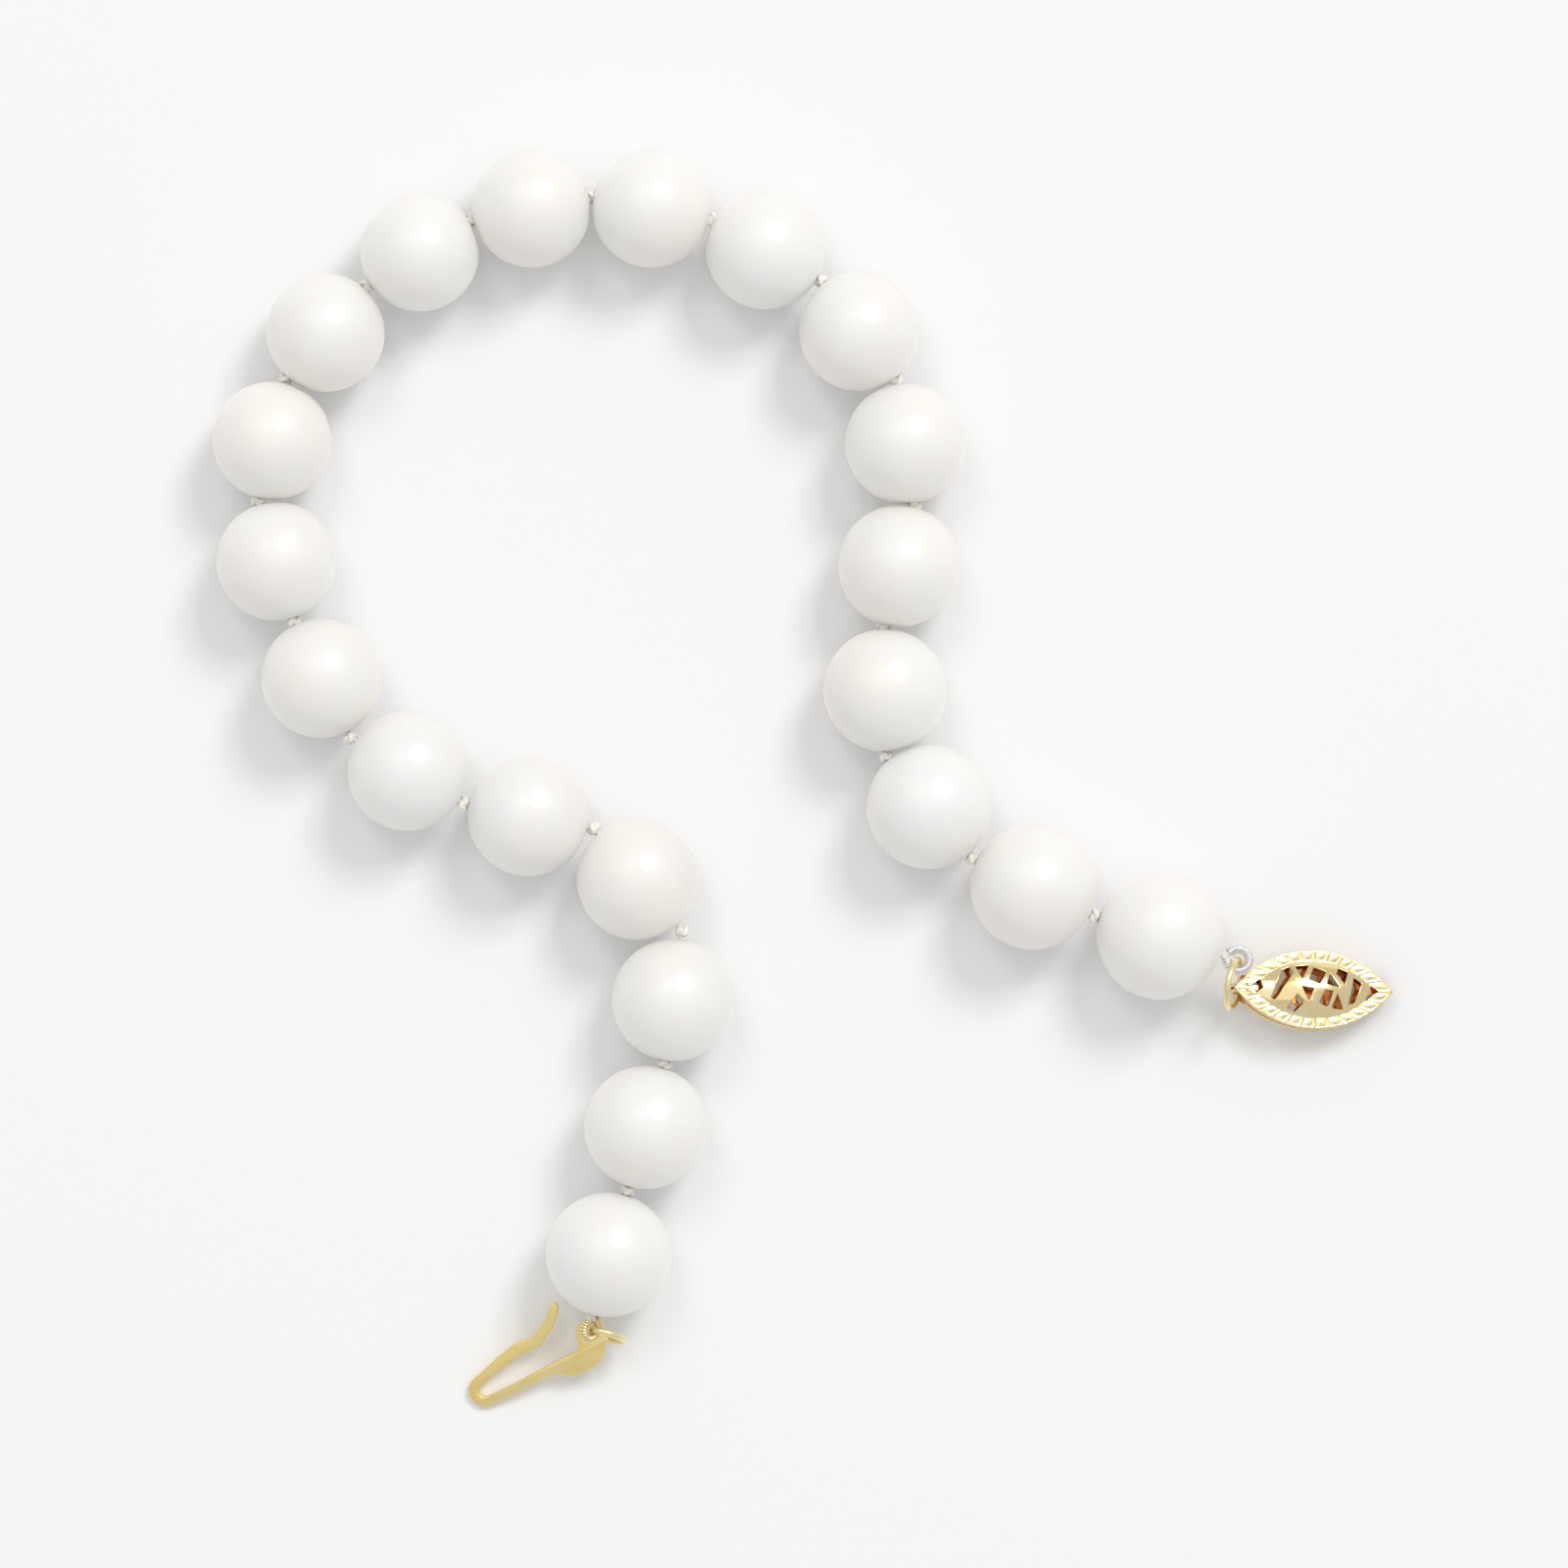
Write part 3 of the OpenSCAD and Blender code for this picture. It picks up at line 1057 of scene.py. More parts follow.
@dataclass
class SilkKnot:
    """A tight overhand knot of the silk, drawn up into a ball between two pearls."""

    number: int
    ahead: np.ndarray
    knot_d: float = 1.05
    steps: int = 240
    plaits: int = 9

    def surface(self) -> tuple[Surface, np.ndarray]:
        """The knot's loops: a three-lobed knotted ring, flat across the strand.

        With t going once round, the ring's points are (sin t + 2 sin 2t, cos t - 2 cos 2t,
        -sin 3t), scaled so that the thread's outside just fills the knot's size.

        Returns:
            The knot's surface and its creases.
        """
        thread = SilkThread()
        t = np.linspace(0, TAU, self.steps, endpoint=False)
        wide = (self.knot_d / 2 - thread.radius) / 3
        tall = 1.5 * wide
        ring = np.stack([tall * -np.sin(3 * t), wide * (np.sin(t) + 2 * np.sin(2 * t)),
                         wide * (np.cos(t) - 2 * np.cos(2 * t))], axis=1)
        roll = turn_matrix(73.0 * self.number, 0, 0)
        made, crease = thread.run(ring @ roll.T, roll @ np.array([1.0, 0, 0]), True, self.plaits)
        along = unit(self.ahead)
        level = unit(np.cross([0.0, 0, 1], along))
        placing = Placing(joint_place(f"knot_{self.number:02d}_sideways"),
                          np.stack([along, level, np.cross(along, level)], axis=1))
        return made.placed(placing), crease

    def dress(self) -> bpy.types.Object:
        """Makes the knot's piece.

        Returns:
            The piece, riding its body.
        """
        surface, crease = self.surface()
        mesh = surface.mesh(f"silk_knot_{self.number:02d}_tied")
        set_attribute(mesh, "crease", crease)
        piece = add_piece(mesh.name, mesh, SILK, (f"silk_knot_{self.number:02d}",))
        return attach(piece, f"knot_{self.number:02d}")


@dataclass
class Strand:
    """The pearls, their knots and the silk that they hang on."""

    run_steps: int = 60
    plies_per_mm: float = 0.9

    def tones(self) -> np.ndarray:
        """An overtone for each pearl, spread by the golden ratio.

        Returns:
            One number from 0 to 1 for each pearl.
        """
        return (np.arange(PEARL_COUNT) * 0.618) % 1

    def thread_piece(self, number: int, start: np.ndarray, end: np.ndarray) -> None:
        """The silk through one pearl's hole, from knot to knot.

        Args:
            number: The pearl's number.
            start: The point before the pearl.
            end: The point after it.
        """
        path = start + (end - start) * np.linspace(0, 1, self.run_steps)[:, None]
        turns = max(1, round(float(np.linalg.norm(end - start)) * self.plies_per_mm))
        surface, crease = SilkThread().run(path, np.array([0.0, 0, 1]), False, turns)
        mesh = surface.mesh(f"silk_thread_{number:02d}")
        set_attribute(mesh, "crease", crease)
        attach(add_piece(mesh.name, mesh, SILK), f"pearl_{number:02d}")

    def build(self) -> None:
        """Makes every pearl, the thread through it and the knot after it."""
        points = strand_points()
        tones = self.tones()
        for number, (before, after) in enumerate(zip(points, points[1:]), 1):
            Pearl(number, before, after).dress(tones[number - 1])
            self.thread_piece(number, before, after)
            if number < PEARL_COUNT:
                ahead = points[number + 1] - before
                SilkKnot(number, ahead).dress()


# ---- Loops of wire and jump rings ----


@dataclass
class WireLoop:
    """A loop of fine coiled wire that guards the silk where it goes round a ring."""

    end: str
    finish: Metal
    turn: tuple
    loop_r: float
    coil_d: float
    turns: int
    clearance: float = 0.08
    open_angle: float = 30.0
    wire_t: float = 0.1
    wire_fill: float = 0.84
    steps_per_turn: int = 22
    wire_points: int = 10

    def placing(self) -> Placing:
        """The loop's middle and its axes, X pointing away from the pearl.

        Returns:
            The loop's place.
        """
        turn = turn_matrix(*self.turn)
        reach = self.loop_r + self.coil_d / 2 + self.clearance
        mouth = joint_place(self.end + "_wire_lift")
        return Placing(mouth + turn @ np.array([reach, 0, 0]), turn)

    def coil(self) -> Surface:
        """The coiled wire.

        The wire winds round a circle's arc: a point is the arc's point plus the coil's
        radius turned by the winding angle.  The wire's section is as wide along the arc
        as the room that its turn has there, so the turns lie side by side.

        Returns:
            The wire's surface, in the loop's own axes.
        """
        t = np.linspace(0, 1, self.turns * self.steps_per_turn)
        span = math.radians(360 - 2 * self.open_angle)
        place = (t - 0.5) * span
        winding = t * self.turns * TAU
        outward = np.stack([np.cos(place), np.sin(place), np.zeros_like(place)], axis=1)
        up = np.array([0.0, 0, 1])
        wind_r = (self.coil_d - self.wire_t) / 2
        spoke = np.cos(winding)[:, None] * outward + np.sin(winding)[:, None] * up
        path = self.loop_r * outward + wind_r * spoke
        pitch = span * (self.loop_r + wind_r * np.cos(winding)) / self.turns
        angle = np.linspace(0, TAU, self.wire_points, endpoint=False)
        section = np.stack([
            np.broadcast_to(self.wire_t / 2 * np.cos(angle), (len(t), len(angle))),
            (self.wire_fill * pitch / 2)[:, None] * np.sin(angle)], axis=-1)
        return carried(path, spoke, section, closed=False)

    def silk_path(self) -> np.ndarray:
        """The silk's path from the pearl's mouth, round the loop and back.

        Returns:
            The path's points, in the loop's own axes.
        """
        span = math.radians(180 - self.open_angle)
        place = np.linspace(-span, span, 90)
        ring = self.loop_r * np.stack([np.cos(place), np.sin(place), 0 * place], axis=1)
        reach = self.loop_r + self.coil_d / 2 + self.clearance
        mouth = np.array([[-reach, 0.0, 0.0]])
        lead = np.linspace(0, 1, 12)[:-1, None]
        return np.vstack([mouth + (ring[:1] - mouth) * lead, ring,
                          (mouth + (ring[-1:] - mouth) * lead)[::-1]])

    def build(self) -> None:
        """Makes the coil and the silk that runs through it."""
        body = "wire_loop_" + self.end
        placing = self.placing()
        mesh = self.coil().placed(placing).mesh(f"french_wire_{self.end}_coil")
        piece = add_piece(mesh.name, mesh, self.finish, ("french_wire_" + self.end,))
        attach(piece, body)
        thread, crease = SilkThread().run(self.silk_path(), np.array([0.0, 0, 1]), False, 6)
        mesh = thread.placed(placing).mesh(f"silk_end_{self.end}_loop")
        set_attribute(mesh, "crease", crease)
        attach(add_piece(mesh.name, mesh, SILK, ("silk_end_" + self.end,)), body)


@dataclass
class JumpRing:
    """A round-wire ring, soldered where its ends meet."""

    end: str
    ring_r: float
    turn: tuple
    seam_at: float
    wire_d: float = 0.45
    seam_width: float = 0.05
    seam_depth: float = 0.06
    steps: int = 220
    around: int = 36

    def build(self) -> None:
        """Makes the ring: a circle carried round a circle, drawn in a little at the seam."""
        angle = np.linspace(0, TAU, self.steps, endpoint=False)
        spoke = np.stack([np.cos(angle), np.zeros_like(angle), np.sin(angle)], axis=1)
        off_seam = (angle - math.radians(self.seam_at) + math.pi) % TAU - math.pi
        waist = 1 - self.seam_depth * np.exp(-((off_seam / self.seam_width) ** 2))
        section = waist[:, None, None] * round_section(self.wire_d / 2, self.around)
        placing = Placing(joint_place(self.end + "_ring_turn"), turn_matrix(*self.turn))
        ring = carried(self.ring_r * spoke, spoke, section, closed=True).placed(placing)
        mesh = ring.mesh(f"jump_ring_{self.end}_wire")
        piece = add_piece(mesh.name, mesh, RING_GOLD, ("jump_ring_" + self.end,))
        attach(piece, "ring_" + self.end)


# ---- Hook ----


@dataclass
class FishHook:
    """The flat hook: one sheet bent back on itself, with a tab and an eye."""

    length: float = 8.25
    sheet_t: float = 0.45
    bend_v: float = 0.48
    bend_inner_r: float = 0.45
    bend_w: float = 0.65
    eye_d: float = 1.2
    eye_rim: float = 0.3
    edge: float = 0.07
    turn: tuple = (-5, 10.5, 206)
    squeeze_from: tuple = (8.25, 0.39)
    squeeze_slope: float = 0.175
    squeeze_band: float = 0.12

    def outline(self) -> np.ndarray:
        """The sheet's outline, from the bend along the spring arm and back by the tab.

        Returns:
            The outline's points, n by 2.
        """
        bend = (self.length, self.bend_v)
        back = self.length
        arm_out = [[back - 1.8, -1.2], [back - 3.65, -1.56], [back - 4.3, -1.39],
                   [back - 4.65, -1.37], [back - 5.1, -1.6], [back - 5.95, -2.06],
                   [back - 6.6, -2.77]]
        arm_in = [[back - 6.9, -2.05], [back - 6.1, -1.3], [back - 5.4, -0.93],
                  [back - 4.8, -0.57], [back - 4, -0.68], [back - 3.35, -0.7],
                  [back - 2.2, -0.45], [back - 0.75, -0.15]]
        shank_in = [[back - 2.8, 0.88], [2.5, 0.75], [1.25, 0.8], [1, 0.6]]
        tab = [[-1.1, 0.9], [-0.45, 1.4], [-0.1, 1.9], [0.35, 2.15], [1.25, 2.25],
               [2.4, 2.2], [2.8, 1.85], [3.25, 1.55], [3.8, 1.45], [back - 2.9, 1.55]]
        tip = arc((back - 6.93, -2.6), 0.27, -60, -200, 8)
        eye_r = self.eye_d / 2 + self.eye_rim
        return np.vstack([
            arc(bend, self.bend_inner_r + self.bend_w, 90, -90, 24), arm_out, tip, arm_in,
            arc(bend, self.bend_inner_r, -90, 90, 16), shank_in,
            arc((0, 0), eye_r, 8, -210, 32), tab])

    def build(self) -> None:
        """Makes the hook."""
        edge = rounded_outline(self.outline(), step=0.07, reach=0.25)
        eye = arc((0, 0), self.eye_d / 2, 0, 354, 60)
        mesh = cut_sheet("hook_sheet", [edge, eye], self.sheet_t, self.edge)
        placing = Placing(joint_place("hook_body_swing"), turn_matrix(*self.turn))
        set_points(mesh, placing.place(points_of(mesh)) * MM)
        smooth(mesh)
        piece = add_piece("hook_sheet", mesh, HOOK_GOLD, ("hook_shank", "hook_spring_arm"))
        weigh_normals(piece)
        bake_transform(piece)


def weigh_normals(piece: bpy.types.Object) -> None:
    """Keeps a flat sheet's faces flat up to its rolled edges.

    Args:
        piece: The sheet's piece.
    """
    weigh = piece.modifiers.new("flat_faces", "WEIGHTED_NORMAL")
    weigh.keep_sharp = True
    weigh.weight = 100


# ---- Clasp ----


@dataclass
class ClaspShell:
    """One stamped shell: a wall, a rim of stamped frames and a pierced dome."""

    side: Side
    length: float = 11.0
    width: float = 5.3
    rim_w: float = 0.75
    rim_z: float = 0.75
    dome_h: float = 0.75
    sheet_t: float = 0.28
    gap: float = 0.3
    edge: float = 0.07
    frames: int = 12
    frame_steps: int = 26
    frame_line: float = 0.05
    frame_rise: float = -0.025
    dot_r: float = 0.08
    dot_rise: float = 0.03
    slice_step: float = 0.22
    slice_off: float = 0.013
    wall_share: float = 1.3
    arc_share: float = 1.148
    dome_lap: float = 0.12
    dome_edge: float = 0.05

    PIERCINGS = (
        [[-3.05, -0.7], [-2.75, -0.8], [-1.5, 1.1], [-1.75, 1.45], [-2.3, 1.2]],
        [[-1.35, 1.5], [-0.4, 1.6], [-0.95, 0.6]],
        [[-1.3, -0.4], [-0.75, -0.95], [-1.4, -1.6], [-1.95, -1.35]],
        [[-1.0, 0.1], [-0.15, -0.05], [-0.5, -0.85]],
        [[-0.1, 1.45], [0.75, 1.15], [0.25, 0.3], [-0.5, 0.6]],
        [[0.6, -0.1], [1.2, -0.15], [0.85, -1.25], [0.2, -0.95]],
        [[1.0, 1.05], [1.6, 0.1], [0.75, 0.3]],
        [[1.5, -0.3], [1.95, -1.35], [1.1, -1.3]],
        [[1.65, 1.45], [2.3, 1.2], [2.0, 0.35], [1.45, 1.05]],
        [[2.7, 0.85], [3.25, 0.5], [2.75, -0.9], [2.25, -1.05]])
    TIP_PIERCINGS = (
        [[-4.45, 0.15], [-3.7, 0.6], [-3.5, 0.05], [-3.95, -0.35]],
        [[3.9, 0.35], [4.5, 0], [3.5, -0.75]])

    def oval(self, count: int) -> np.ndarray:
        """The pointed oval: two arcs that meet at a tip at each end.

        Args:
            count: How many points along each arc.

        Returns:
            The outline, from the right tip over the top to the left tip and back below.
        """
        radius = (self.length**2 + self.width**2) / (4 * self.width)
        span = math.asin(self.length / 2 / radius)
        angle = np.linspace(span, -span, count, endpoint=False)
        top = np.stack([radius * np.sin(angle), radius * np.cos(angle)
                        - (radius - self.width / 2)], axis=1)
        return np.vstack([top, -top])

    def dome(self, at: np.ndarray) -> np.ndarray:
        """How high the dome stands above the rim.

        The dome is the skin of a long spindle: an arc turned about an axis that lies
        below the rim, so that it meets the rim half a dome's length and width away.

        Args:
            at: Points, n by 2.

        Returns:
            The heights, 0 outside the dome.
        """
        half_w = self.width / 2 - self.rim_w
        half_l = half_w * self.length / self.width
        drop = (half_w**2 - self.dome_h**2) / (2 * self.dome_h)
        arc_r = (half_l**2 + self.dome_h**2) / (2 * self.dome_h)
        spindle = drop + self.dome_h - arc_r + np.sqrt(arc_r**2 - np.minimum(at[:, 0] ** 2, arc_r**2))
        skin_z = np.sqrt(np.maximum(spindle**2 - at[:, 1] ** 2, 0)) - drop
        return np.maximum(skin_z, 0)

    def stamped(self, along: np.ndarray, inset: np.ndarray) -> np.ndarray:
        """How high the stamping stands on the rim, less than zero in the frames' grooves.

        A frame's line is a bell curve of the distance from a rounded square round the
        cell's middle, and the dot in it is a bell curve of the distance from the middle.

        Args:
            along: Place along the rim, in frames.
            inset: Distance in from the edge.

        Returns:
            The heights.
        """
        pitch = self.length * self.arc_share / self.frames
        across = (inset - self.rim_w / 2) / (self.rim_w / 2)
        beside = 2 * (along % 1 - 0.5)
        square = (np.abs(across) ** 4 + np.abs(beside) ** 4) ** 0.25
        line = np.exp(-(((square - 0.68) * self.rim_w / 2 / self.frame_line) ** 2))
        middle = np.hypot(across * self.rim_w / 2, beside * pitch / 2)
        dot = np.exp(-((middle / self.dot_r) ** 2))
        return self.frame_rise * line + self.dot_rise * dot

    def rim_and_wall(self) -> Surface:
        """The rim and the wall: a hook-shaped profile carried round the pointed oval.

        A profile point's inset draws the oval in towards its middle in proportion.

        Returns:
            The rim's and the wall's surface.
        """
        wall = self.sheet_t * self.wall_share
        low, top = self.gap / 2, self.rim_z
        ceiling = top - self.sheet_t
        turn = np.radians(np.linspace(180, 90, 6))
        outer = np.stack([self.edge + self.edge * np.cos(turn),
                          top - self.edge + self.edge * np.sin(turn)], axis=1)
        face = np.linspace(self.edge, self.rim_w, 27)[1:]
        foot = np.radians(np.linspace(270, 180, 5))
        toe = np.stack([self.edge + self.edge * np.cos(foot),
                        low + self.edge + self.edge * np.sin(foot)], axis=1)
        profile = np.vstack([
            toe, outer, np.stack([face, np.full_like(face, top)], axis=1),
            [[self.rim_w, ceiling], [wall, ceiling], [wall, low]]])
        inset, height = profile.T
        oval = self.oval(self.frames * self.frame_steps)
        along = np.arange(len(oval)) / self.frame_steps
        shrink = 1 - inset / (self.width / 2)
        on_face = (height >= top - 1e-6) & (inset > self.edge) & (inset < self.rim_w - 0.01)
        rise = self.stamped(along[:, None], inset[None]) * on_face
        grid = np.concatenate([oval[:, None] * shrink[None, :, None],
                               (height[None] + rise)[..., None]], axis=-1)
        return skin(grid, closed=True)

    def cutters(self, clasp: "Clasp") -> list[Surface]:
        """The shapes cut out of the wall: the strap's room and the hook's mouth.

        Args:
            clasp: The clasp that the shell belongs to.

        Returns:
            The two shapes.
        """
        span = np.array([[0, -self.width, 0], [0, self.width, 0]], float)
        room = carried(span + [clasp.strap_x, 0, 0], np.array([1.0, 0, 0]),
                       round_section(clasp.strap_bore_r + clasp.strap_t, 48), closed=False)
        half_w, half_h = clasp.mouth_w / 2, clasp.mouth_h / 2
        box = np.array([[-half_w, -half_h], [half_w, -half_h], [half_w, half_h],
                        [-half_w, half_h]])
        from_x = self.length / 2 - clasp.mouth_deep
        mouth = carried(np.array([[from_x, 0, 0], [self.length, 0, 0]], float),
                        np.array([0, 1.0, 0]), box, closed=False)
        return [room, mouth]

    def pierced(self, corners: list) -> np.ndarray:
        """Eases a piercing's corners.

        Args:
            corners: Its corners.

        Returns:
            Its outline.
        """
        return rounded_outline(np.array(corners, float), step=0.04, reach=0.08)

    def tip_cutters(self) -> list[Surface]:
        """Upright shapes that pierce the dome's tips and the rim beside them.

        Returns:
            One shape for each tip.
        """
        span = np.array([[0, 0, self.rim_z - 1.5 * self.sheet_t], [0, 0, 3 * self.rim_z]])
        return [carried(span, np.array([1.0, 0, 0]), self.pierced(corners), closed=False)
                for corners in self.TIP_PIERCINGS]

    def pierced_dome(self) -> bpy.types.Mesh:
        """The dome: a pierced flat sheet, sliced finely and then raised to the spindle.

        Returns:
            The dome's mesh.
        """
        share = 1 - (self.rim_w - self.dome_lap) / (self.width / 2)
        outlines = [rounded_outline(self.oval(70) * share, step=0.1, reach=0.2)]
        outlines += [self.pierced(corners) for corners in self.PIERCINGS]
        mesh = cut_sheet("dome", outlines, self.sheet_t, self.dome_edge)
        work = bmesh.new()
        work.from_mesh(mesh)
        half_l, half_w = self.length / 2, self.width / 2
        for axis, half in ((0, half_l), (1, half_w)):
            for place in np.arange(-half, half, self.slice_step) + self.slice_off:
                co = [0.0, 0.0, 0.0]
                no = [0.0, 0.0, 0.0]
                co[axis], no[axis] = float(place), 1.0
                bmesh.ops.bisect_plane(work, geom=work.verts[:] + work.edges[:] + work.faces[:],
                                       plane_co=co, plane_no=no, dist=1e-6)
        work.to_mesh(mesh)
        work.free()
        points = points_of(mesh)
        points[:, 2] += self.rim_z - self.sheet_t / 2 + self.dome(points[:, :2])
        set_points(mesh, points)
        return mesh

    def inside(self, points: np.ndarray, normals: np.ndarray) -> np.ndarray:
        """How much each point faces the clasp's hollow, which sets how much painted shade and painted
        reflection it gets.

        Args:
            points: The points in the clasp's own axes.
            normals: Their normals.

        Returns:
            A number from 0 to 1 for each point.
        """
        away = unit(points / np.array([self.length**2, self.width**2, 4 * self.rim_z**2]))
        facing_in = -np.sum(away * normals, axis=1)
        return np.clip((facing_in + 0.1) / 0.5, 0, 1)

    def build(self, clasp: "Clasp", placing: Placing) -> None:
        """Makes the shell.

        Args:
            clasp: The clasp it belongs to.
            placing: The clasp's place.
        """
        band = self.rim_and_wall().mesh("band")
        set_points(band, points_of(band) / MM)
        tips = self.tip_cutters()
        mesh = one_mesh("shell", [less(band, self.cutters(clasp) + tips),
                                  less(self.pierced_dome(), tips)])
        normals = np.empty(len(mesh.vertices) * 3, np.float32)
        mesh.vertices.foreach_get("normal", normals)
        points = points_of(mesh)
        # Painted shade and reflection: surfaces that face the hollow are marked to take the darker,
        # deeper colour.
        depth = self.inside(points, normals.reshape(-1, 3).astype(float))
        flip = np.array([1, 1, self.side.value])
        set_points(mesh, placing.place(points * flip) * MM)
        if self.side is Side.BACK:
            mesh.flip_normals()
        smooth(mesh)
        set_attribute(mesh, "inside", depth)
        node = f"clasp_{self.side.name.lower()}_shell"
        mesh.name = node + "_stamped"
        piece = add_piece(node + "_stamped", mesh, CLASP_GOLD, (node,))
        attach(piece, "clasp")


@dataclass
class Clasp:
    """The pointed oval clasp that the hook enters."""

    turn: tuple = (-10, 10, -2)
    strap_x: float = -5.0
    strap_bore_r: float = 0.425
    strap_t: float = 0.22
    strap_bar_w: float = 0.24
    strap_slot_w: float = 0.14
    strap_reach: float = 0.7
    mouth_w: float = 2.6
    mouth_h: float = 0.8
    mouth_deep: float = 1.7
    post_x: float = 3.6
    post_d: float = 0.6

    def placing(self) -> Placing:
        """The clasp's middle and its axes, the mouth at +X.

        Returns:
            The clasp's place.
        """
        turn = turn_matrix(*self.turn)
        strap = joint_place("clasp_body_swing")
        return Placing(strap - turn @ np.array([self.strap_x, 0, 0]), turn)

    def strap_bar(self, shell: ClaspShell, at_y: float) -> Surface:
        """One bar of the strap: from the front rim, round the ring and on to the back rim.

        Args:
            shell: A shell, whose rim the bar lies on.
            at_y: The bar's place across the clasp.

        Returns:
            The bar: a rounded rectangle carried along the bent path.
        """
        mid_r = self.strap_bore_r + self.strap_t / 2
        turn = arc((self.strap_x, 0), mid_r, 90, 270, 30)
        rest_z = shell.rim_z + self.strap_t * 0.3
        ease = np.linspace(0, 1, 20)[1:, None]
        lift = np.array([[self.strap_reach, rest_z - mid_r]]) * np.hstack(
            [ease, ease * ease * (3 - 2 * ease)])
        front = turn[0] + lift
        back = front * np.array([1, -1])
        flat = np.vstack([front[::-1], turn, back])
        path = np.stack([flat[:, 0], np.full(len(flat), at_y), flat[:, 1]], axis=1)
        angle = np.linspace(0, TAU, 24, endpoint=False)
        bulge = np.abs(np.cos(angle)) ** 0.5, np.abs(np.sin(angle)) ** 0.5
        section = np.stack([self.strap_bar_w / 2 * np.sign(np.cos(angle)) * bulge[0],
                            self.strap_t / 2 * np.sign(np.sin(angle)) * bulge[1]], axis=1)
        return carried(path, np.array([0, 1.0, 0]), section, closed=False)

    def build_strap(self, shell: ClaspShell, placing: Placing) -> None:
        """Makes the two bars and the tongue between the shells.

        Args:
            shell: A shell, whose rim the bars lie on.
            placing: The clasp's place.
        """
        off = (self.strap_bar_w + self.strap_slot_w) / 2
        half_w, half_h = off + self.strap_bar_w / 2, shell.gap / 2
        corners = round_section(0.05, 8)
        box = np.vstack([corners[0:3] + [half_w - 0.05, half_h - 0.05],
                         corners[2:5] + [-half_w + 0.05, half_h - 0.05],
                         corners[4:7] + [-half_w + 0.05, -half_h + 0.05],
                         corners[[6, 7, 0]] + [half_w - 0.05, -half_h + 0.05]])
        tongue_x = [self.strap_x + self.strap_bore_r + self.strap_t / 2, self.strap_x + 1.3]
        tongue = carried(np.array([[x, 0, 0] for x in tongue_x]), np.array([0, 1.0, 0]),
                         box, closed=False)
        strap = joined([self.strap_bar(shell, off), self.strap_bar(shell, -off), tongue])
        mesh = strap.placed(placing).mesh("clasp_end_strap_bars")
        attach(add_piece(mesh.name, mesh, CLASP_GOLD, ("clasp_end_strap",)), "clasp")

    def build_post(self, shell: ClaspShell, placing: Placing) -> None:
        """Makes the latch post: a straight stem that flares where it meets each dome.

        Args:
            shell: A shell, whose dome the post reaches.
            placing: The clasp's place.
        """
        rise = shell.dome(np.array([[self.post_x, 0.0]]))[0]
        half = shell.rim_z - shell.sheet_t + rise + 0.05
        t = np.linspace(-1, 1, 40)
        radius = self.post_d / 2 * (1 + 0.25 * np.abs(t) ** 8)
        path = np.stack([np.full(40, self.post_x), np.zeros(40), half * t], axis=1)
        section = radius[:, None, None] * round_section(1.0, 32)
        post = carried(path, np.array([1.0, 0, 0]), section, closed=False).placed(placing)
        mesh = post.mesh("clasp_latch_post_stem")
        # The post stands in the hollow, so most of it gets painted shade and painted reflection.
        set_attribute(mesh, "inside", np.full(len(mesh.vertices), 0.8))
        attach(add_piece(mesh.name, mesh, CLASP_GOLD, ("clasp_latch_post",)), "clasp")

    def build(self) -> None:
        """Makes both shells, the strap and the latch post."""
        placing = self.placing()
        shells = {side: ClaspShell(side) for side in Side}
        for shell in shells.values():
            shell.build(self, placing)
        self.build_strap(shells[Side.FRONT], placing)
        self.build_post(shells[Side.FRONT], placing)


# ---- Studio ----


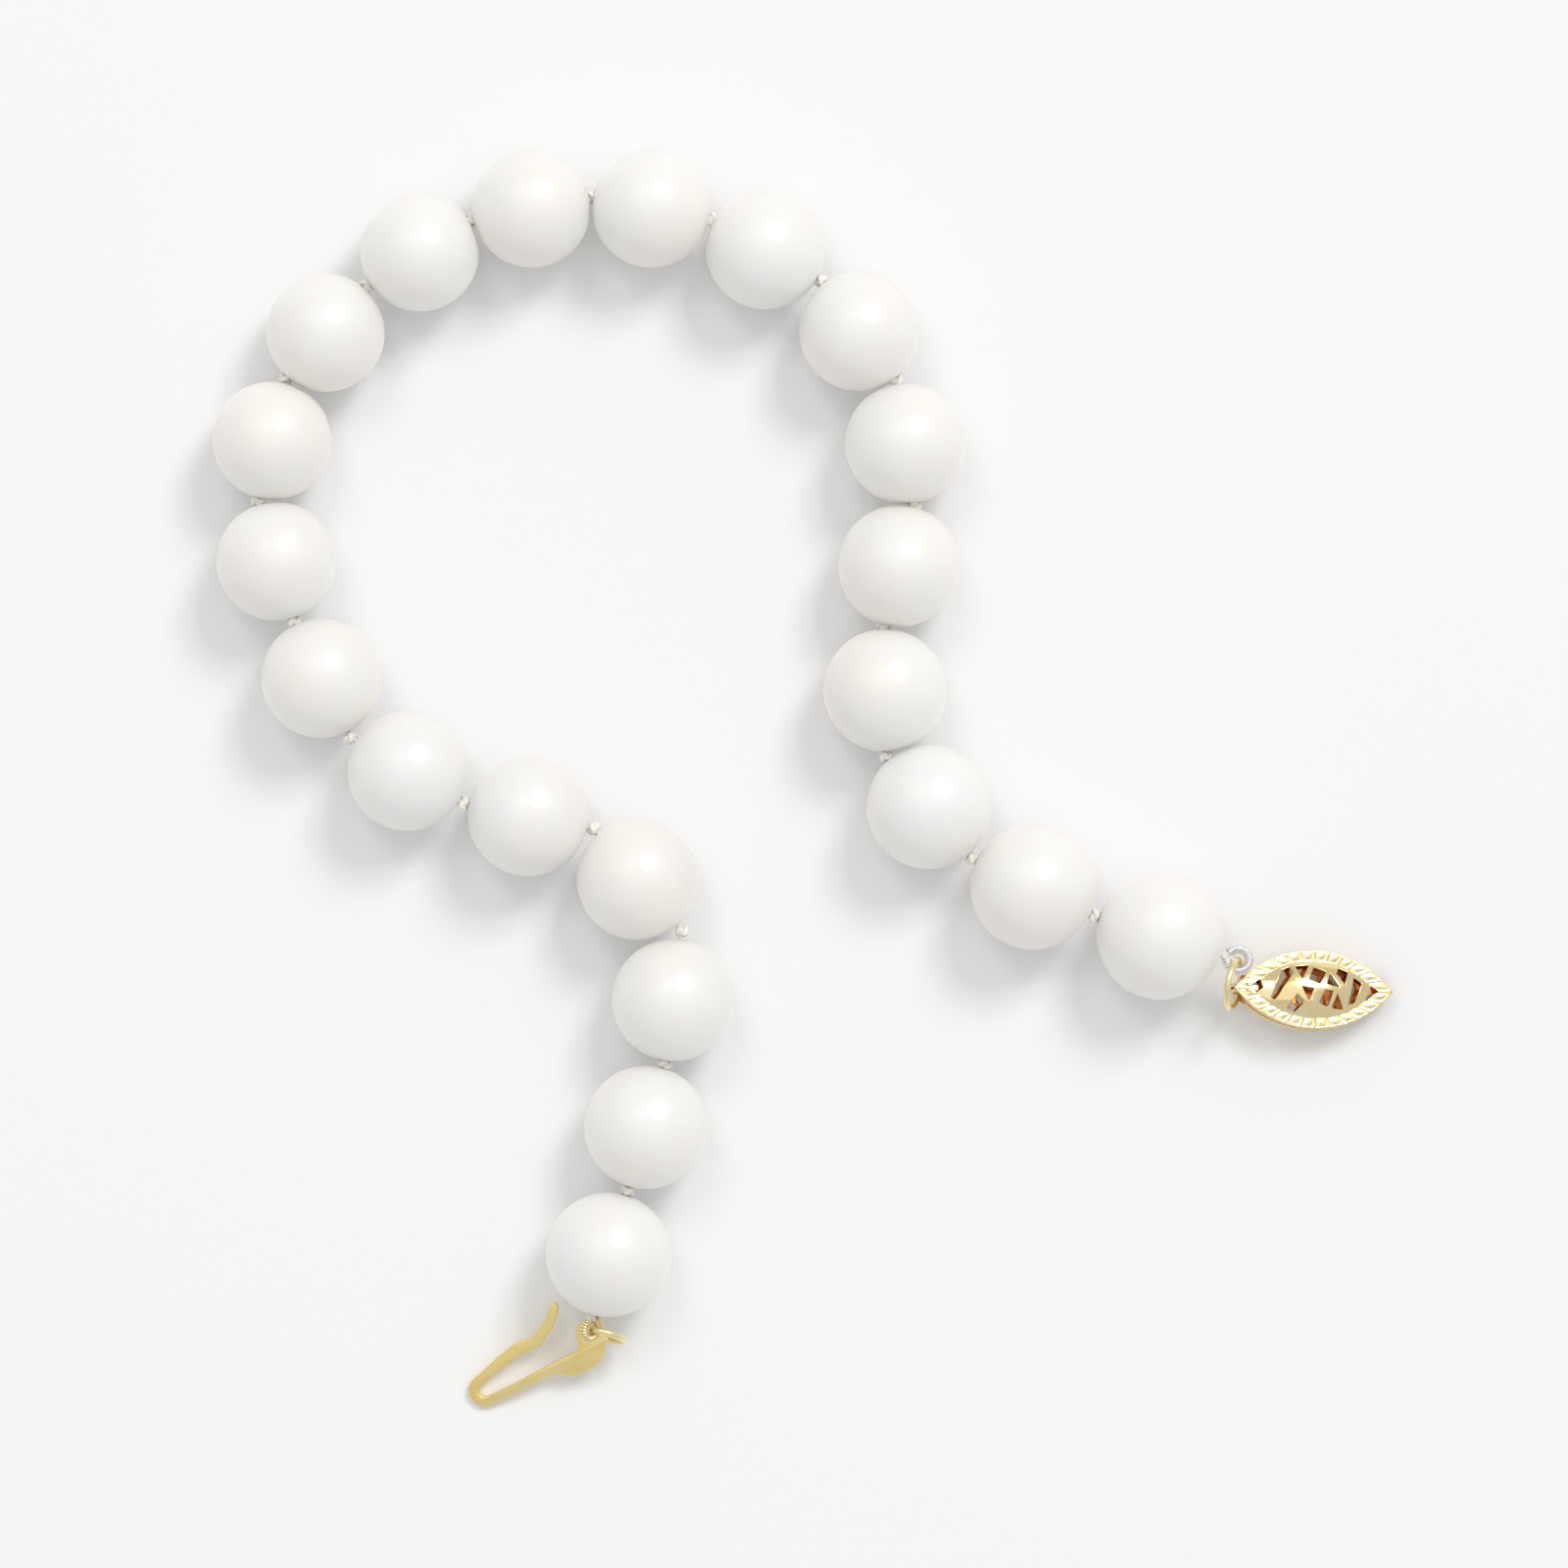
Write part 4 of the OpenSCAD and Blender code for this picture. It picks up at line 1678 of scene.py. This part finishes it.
@dataclass
class Studio:
    """The floor, the soft lights and the camera straight above."""

    look_at: tuple = (-1.23, -0.41, 4.1)
    camera_away: float = 585.0
    lens: float = 200.0
    floor_half: float = 900.0
    floor_shade: float = 0.92
    sky: float = 0.62
    top_power: float = 2.9
    top_size: float = 1600.0
    key_power: float = 13.4
    fill_power: float = 4.0
    light_size: float = 620.0
    light_away: float = 2000.0

    def camera(self) -> None:
        """The camera, looking straight down with +Y up the picture."""
        data = bpy.data.cameras.new("above")
        data.lens = self.lens
        data.sensor_width = 36.0
        camera = bpy.data.objects.new("above", data)
        camera.location = (np.array(self.look_at) + [0, 0, self.camera_away]) * MM
        bpy.context.scene.collection.objects.link(camera)
        bpy.context.scene.camera = camera

    def floor(self) -> None:
        """A plain pale floor."""
        half = self.floor_half * MM
        corners = [(-half, -half, 0), (half, -half, 0), (half, half, 0), (-half, half, 0)]
        mesh = bpy.data.meshes.new("floor")
        mesh.from_pydata(corners, [], [(0, 1, 2, 3)])
        made = bpy.data.materials.new("pale_floor")
        made.use_nodes = True
        shader = made.node_tree.nodes["Principled BSDF"]
        shader.inputs["Base Color"].default_value = (*[self.floor_shade] * 3, 1)
        shader.inputs["Roughness"].default_value = 0.9
        shader.inputs["Specular IOR Level"].default_value = 0.0
        mesh.materials.append(made)
        floor = bpy.data.objects.new("floor", mesh)
        bpy.context.scene.collection.objects.link(floor)

    def softbox(self, name: str, towards: tuple, power: float, size: float) -> None:
        """A square soft light that points at the middle of the table.

        Args:
            name: The light's name.
            towards: The direction from the table to the light.
            power: Its power in watts.
            size: Its side in millimetres.
        """
        data = bpy.data.lights.new(name, "AREA")
        data.energy = power
        data.size = size * MM
        light = bpy.data.objects.new(name, data)
        away = unit(np.array(towards, float))
        light.location = away * self.light_away * MM
        level = unit(np.cross([0.0, 1, 0], away))
        turn = np.stack([level, np.cross(away, level), away], axis=1)
        light.rotation_mode = "QUATERNION"
        light.rotation_quaternion = quaternion(turn)
        bpy.context.scene.collection.objects.link(light)

    def build(self) -> None:
        """Makes the whole studio."""
        self.camera()
        self.floor()
        world = bpy.data.worlds.new("studio")
        world.use_nodes = True
        sky = world.node_tree.nodes["Background"]
        sky.inputs["Color"].default_value = (1, 1, 1, 1)
        sky.inputs["Strength"].default_value = self.sky
        bpy.context.scene.world = world
        bpy.context.scene.view_settings.view_transform = "Standard"
        self.softbox("key", (0.5, 0.7, 1.0), self.key_power, self.light_size)
        self.softbox("fill", (-0.3, 0.55, 1.0), self.fill_power, self.light_size)
        self.softbox("top", (0.0, 0.05, 1.0), self.top_power, self.top_size)


def quaternion(turn: np.ndarray) -> tuple[float, float, float, float]:
    """A turn's quaternion, for a light.

    Args:
        turn: The turn as a 3 by 3 matrix.

    Returns:
        The quaternion, its real part first.
    """
    w = math.sqrt(max(0.0, 1 + turn[0, 0] + turn[1, 1] + turn[2, 2])) / 2
    x = (turn[2, 1] - turn[1, 2]) / (4 * w)
    y = (turn[0, 2] - turn[2, 0]) / (4 * w)
    z = (turn[1, 0] - turn[0, 1]) / (4 * w)
    return w, x, y, z


def main() -> None:
    """Builds the studio and every piece."""
    logging.basicConfig(level=logging.INFO, format="%(name)s: %(message)s")
    Studio().build()
    Strand().build()
    WireLoop("hook", COIL_GOLD, (-45, 20, -85), loop_r=0.66, coil_d=0.66, turns=22).build()
    WireLoop("clasp", COIL_SILVER, (0, 4, -17), loop_r=0.75, coil_d=0.72, turns=27,
             open_angle=17).build()
    JumpRing("hook", 1.35, (-12, 0, -16), seam_at=60).build()
    JumpRing("clasp", 1.65, (-17, 0, 80), seam_at=70).build()
    FishHook().build()
    Clasp().build()


if __name__ == "__main__":
    main()
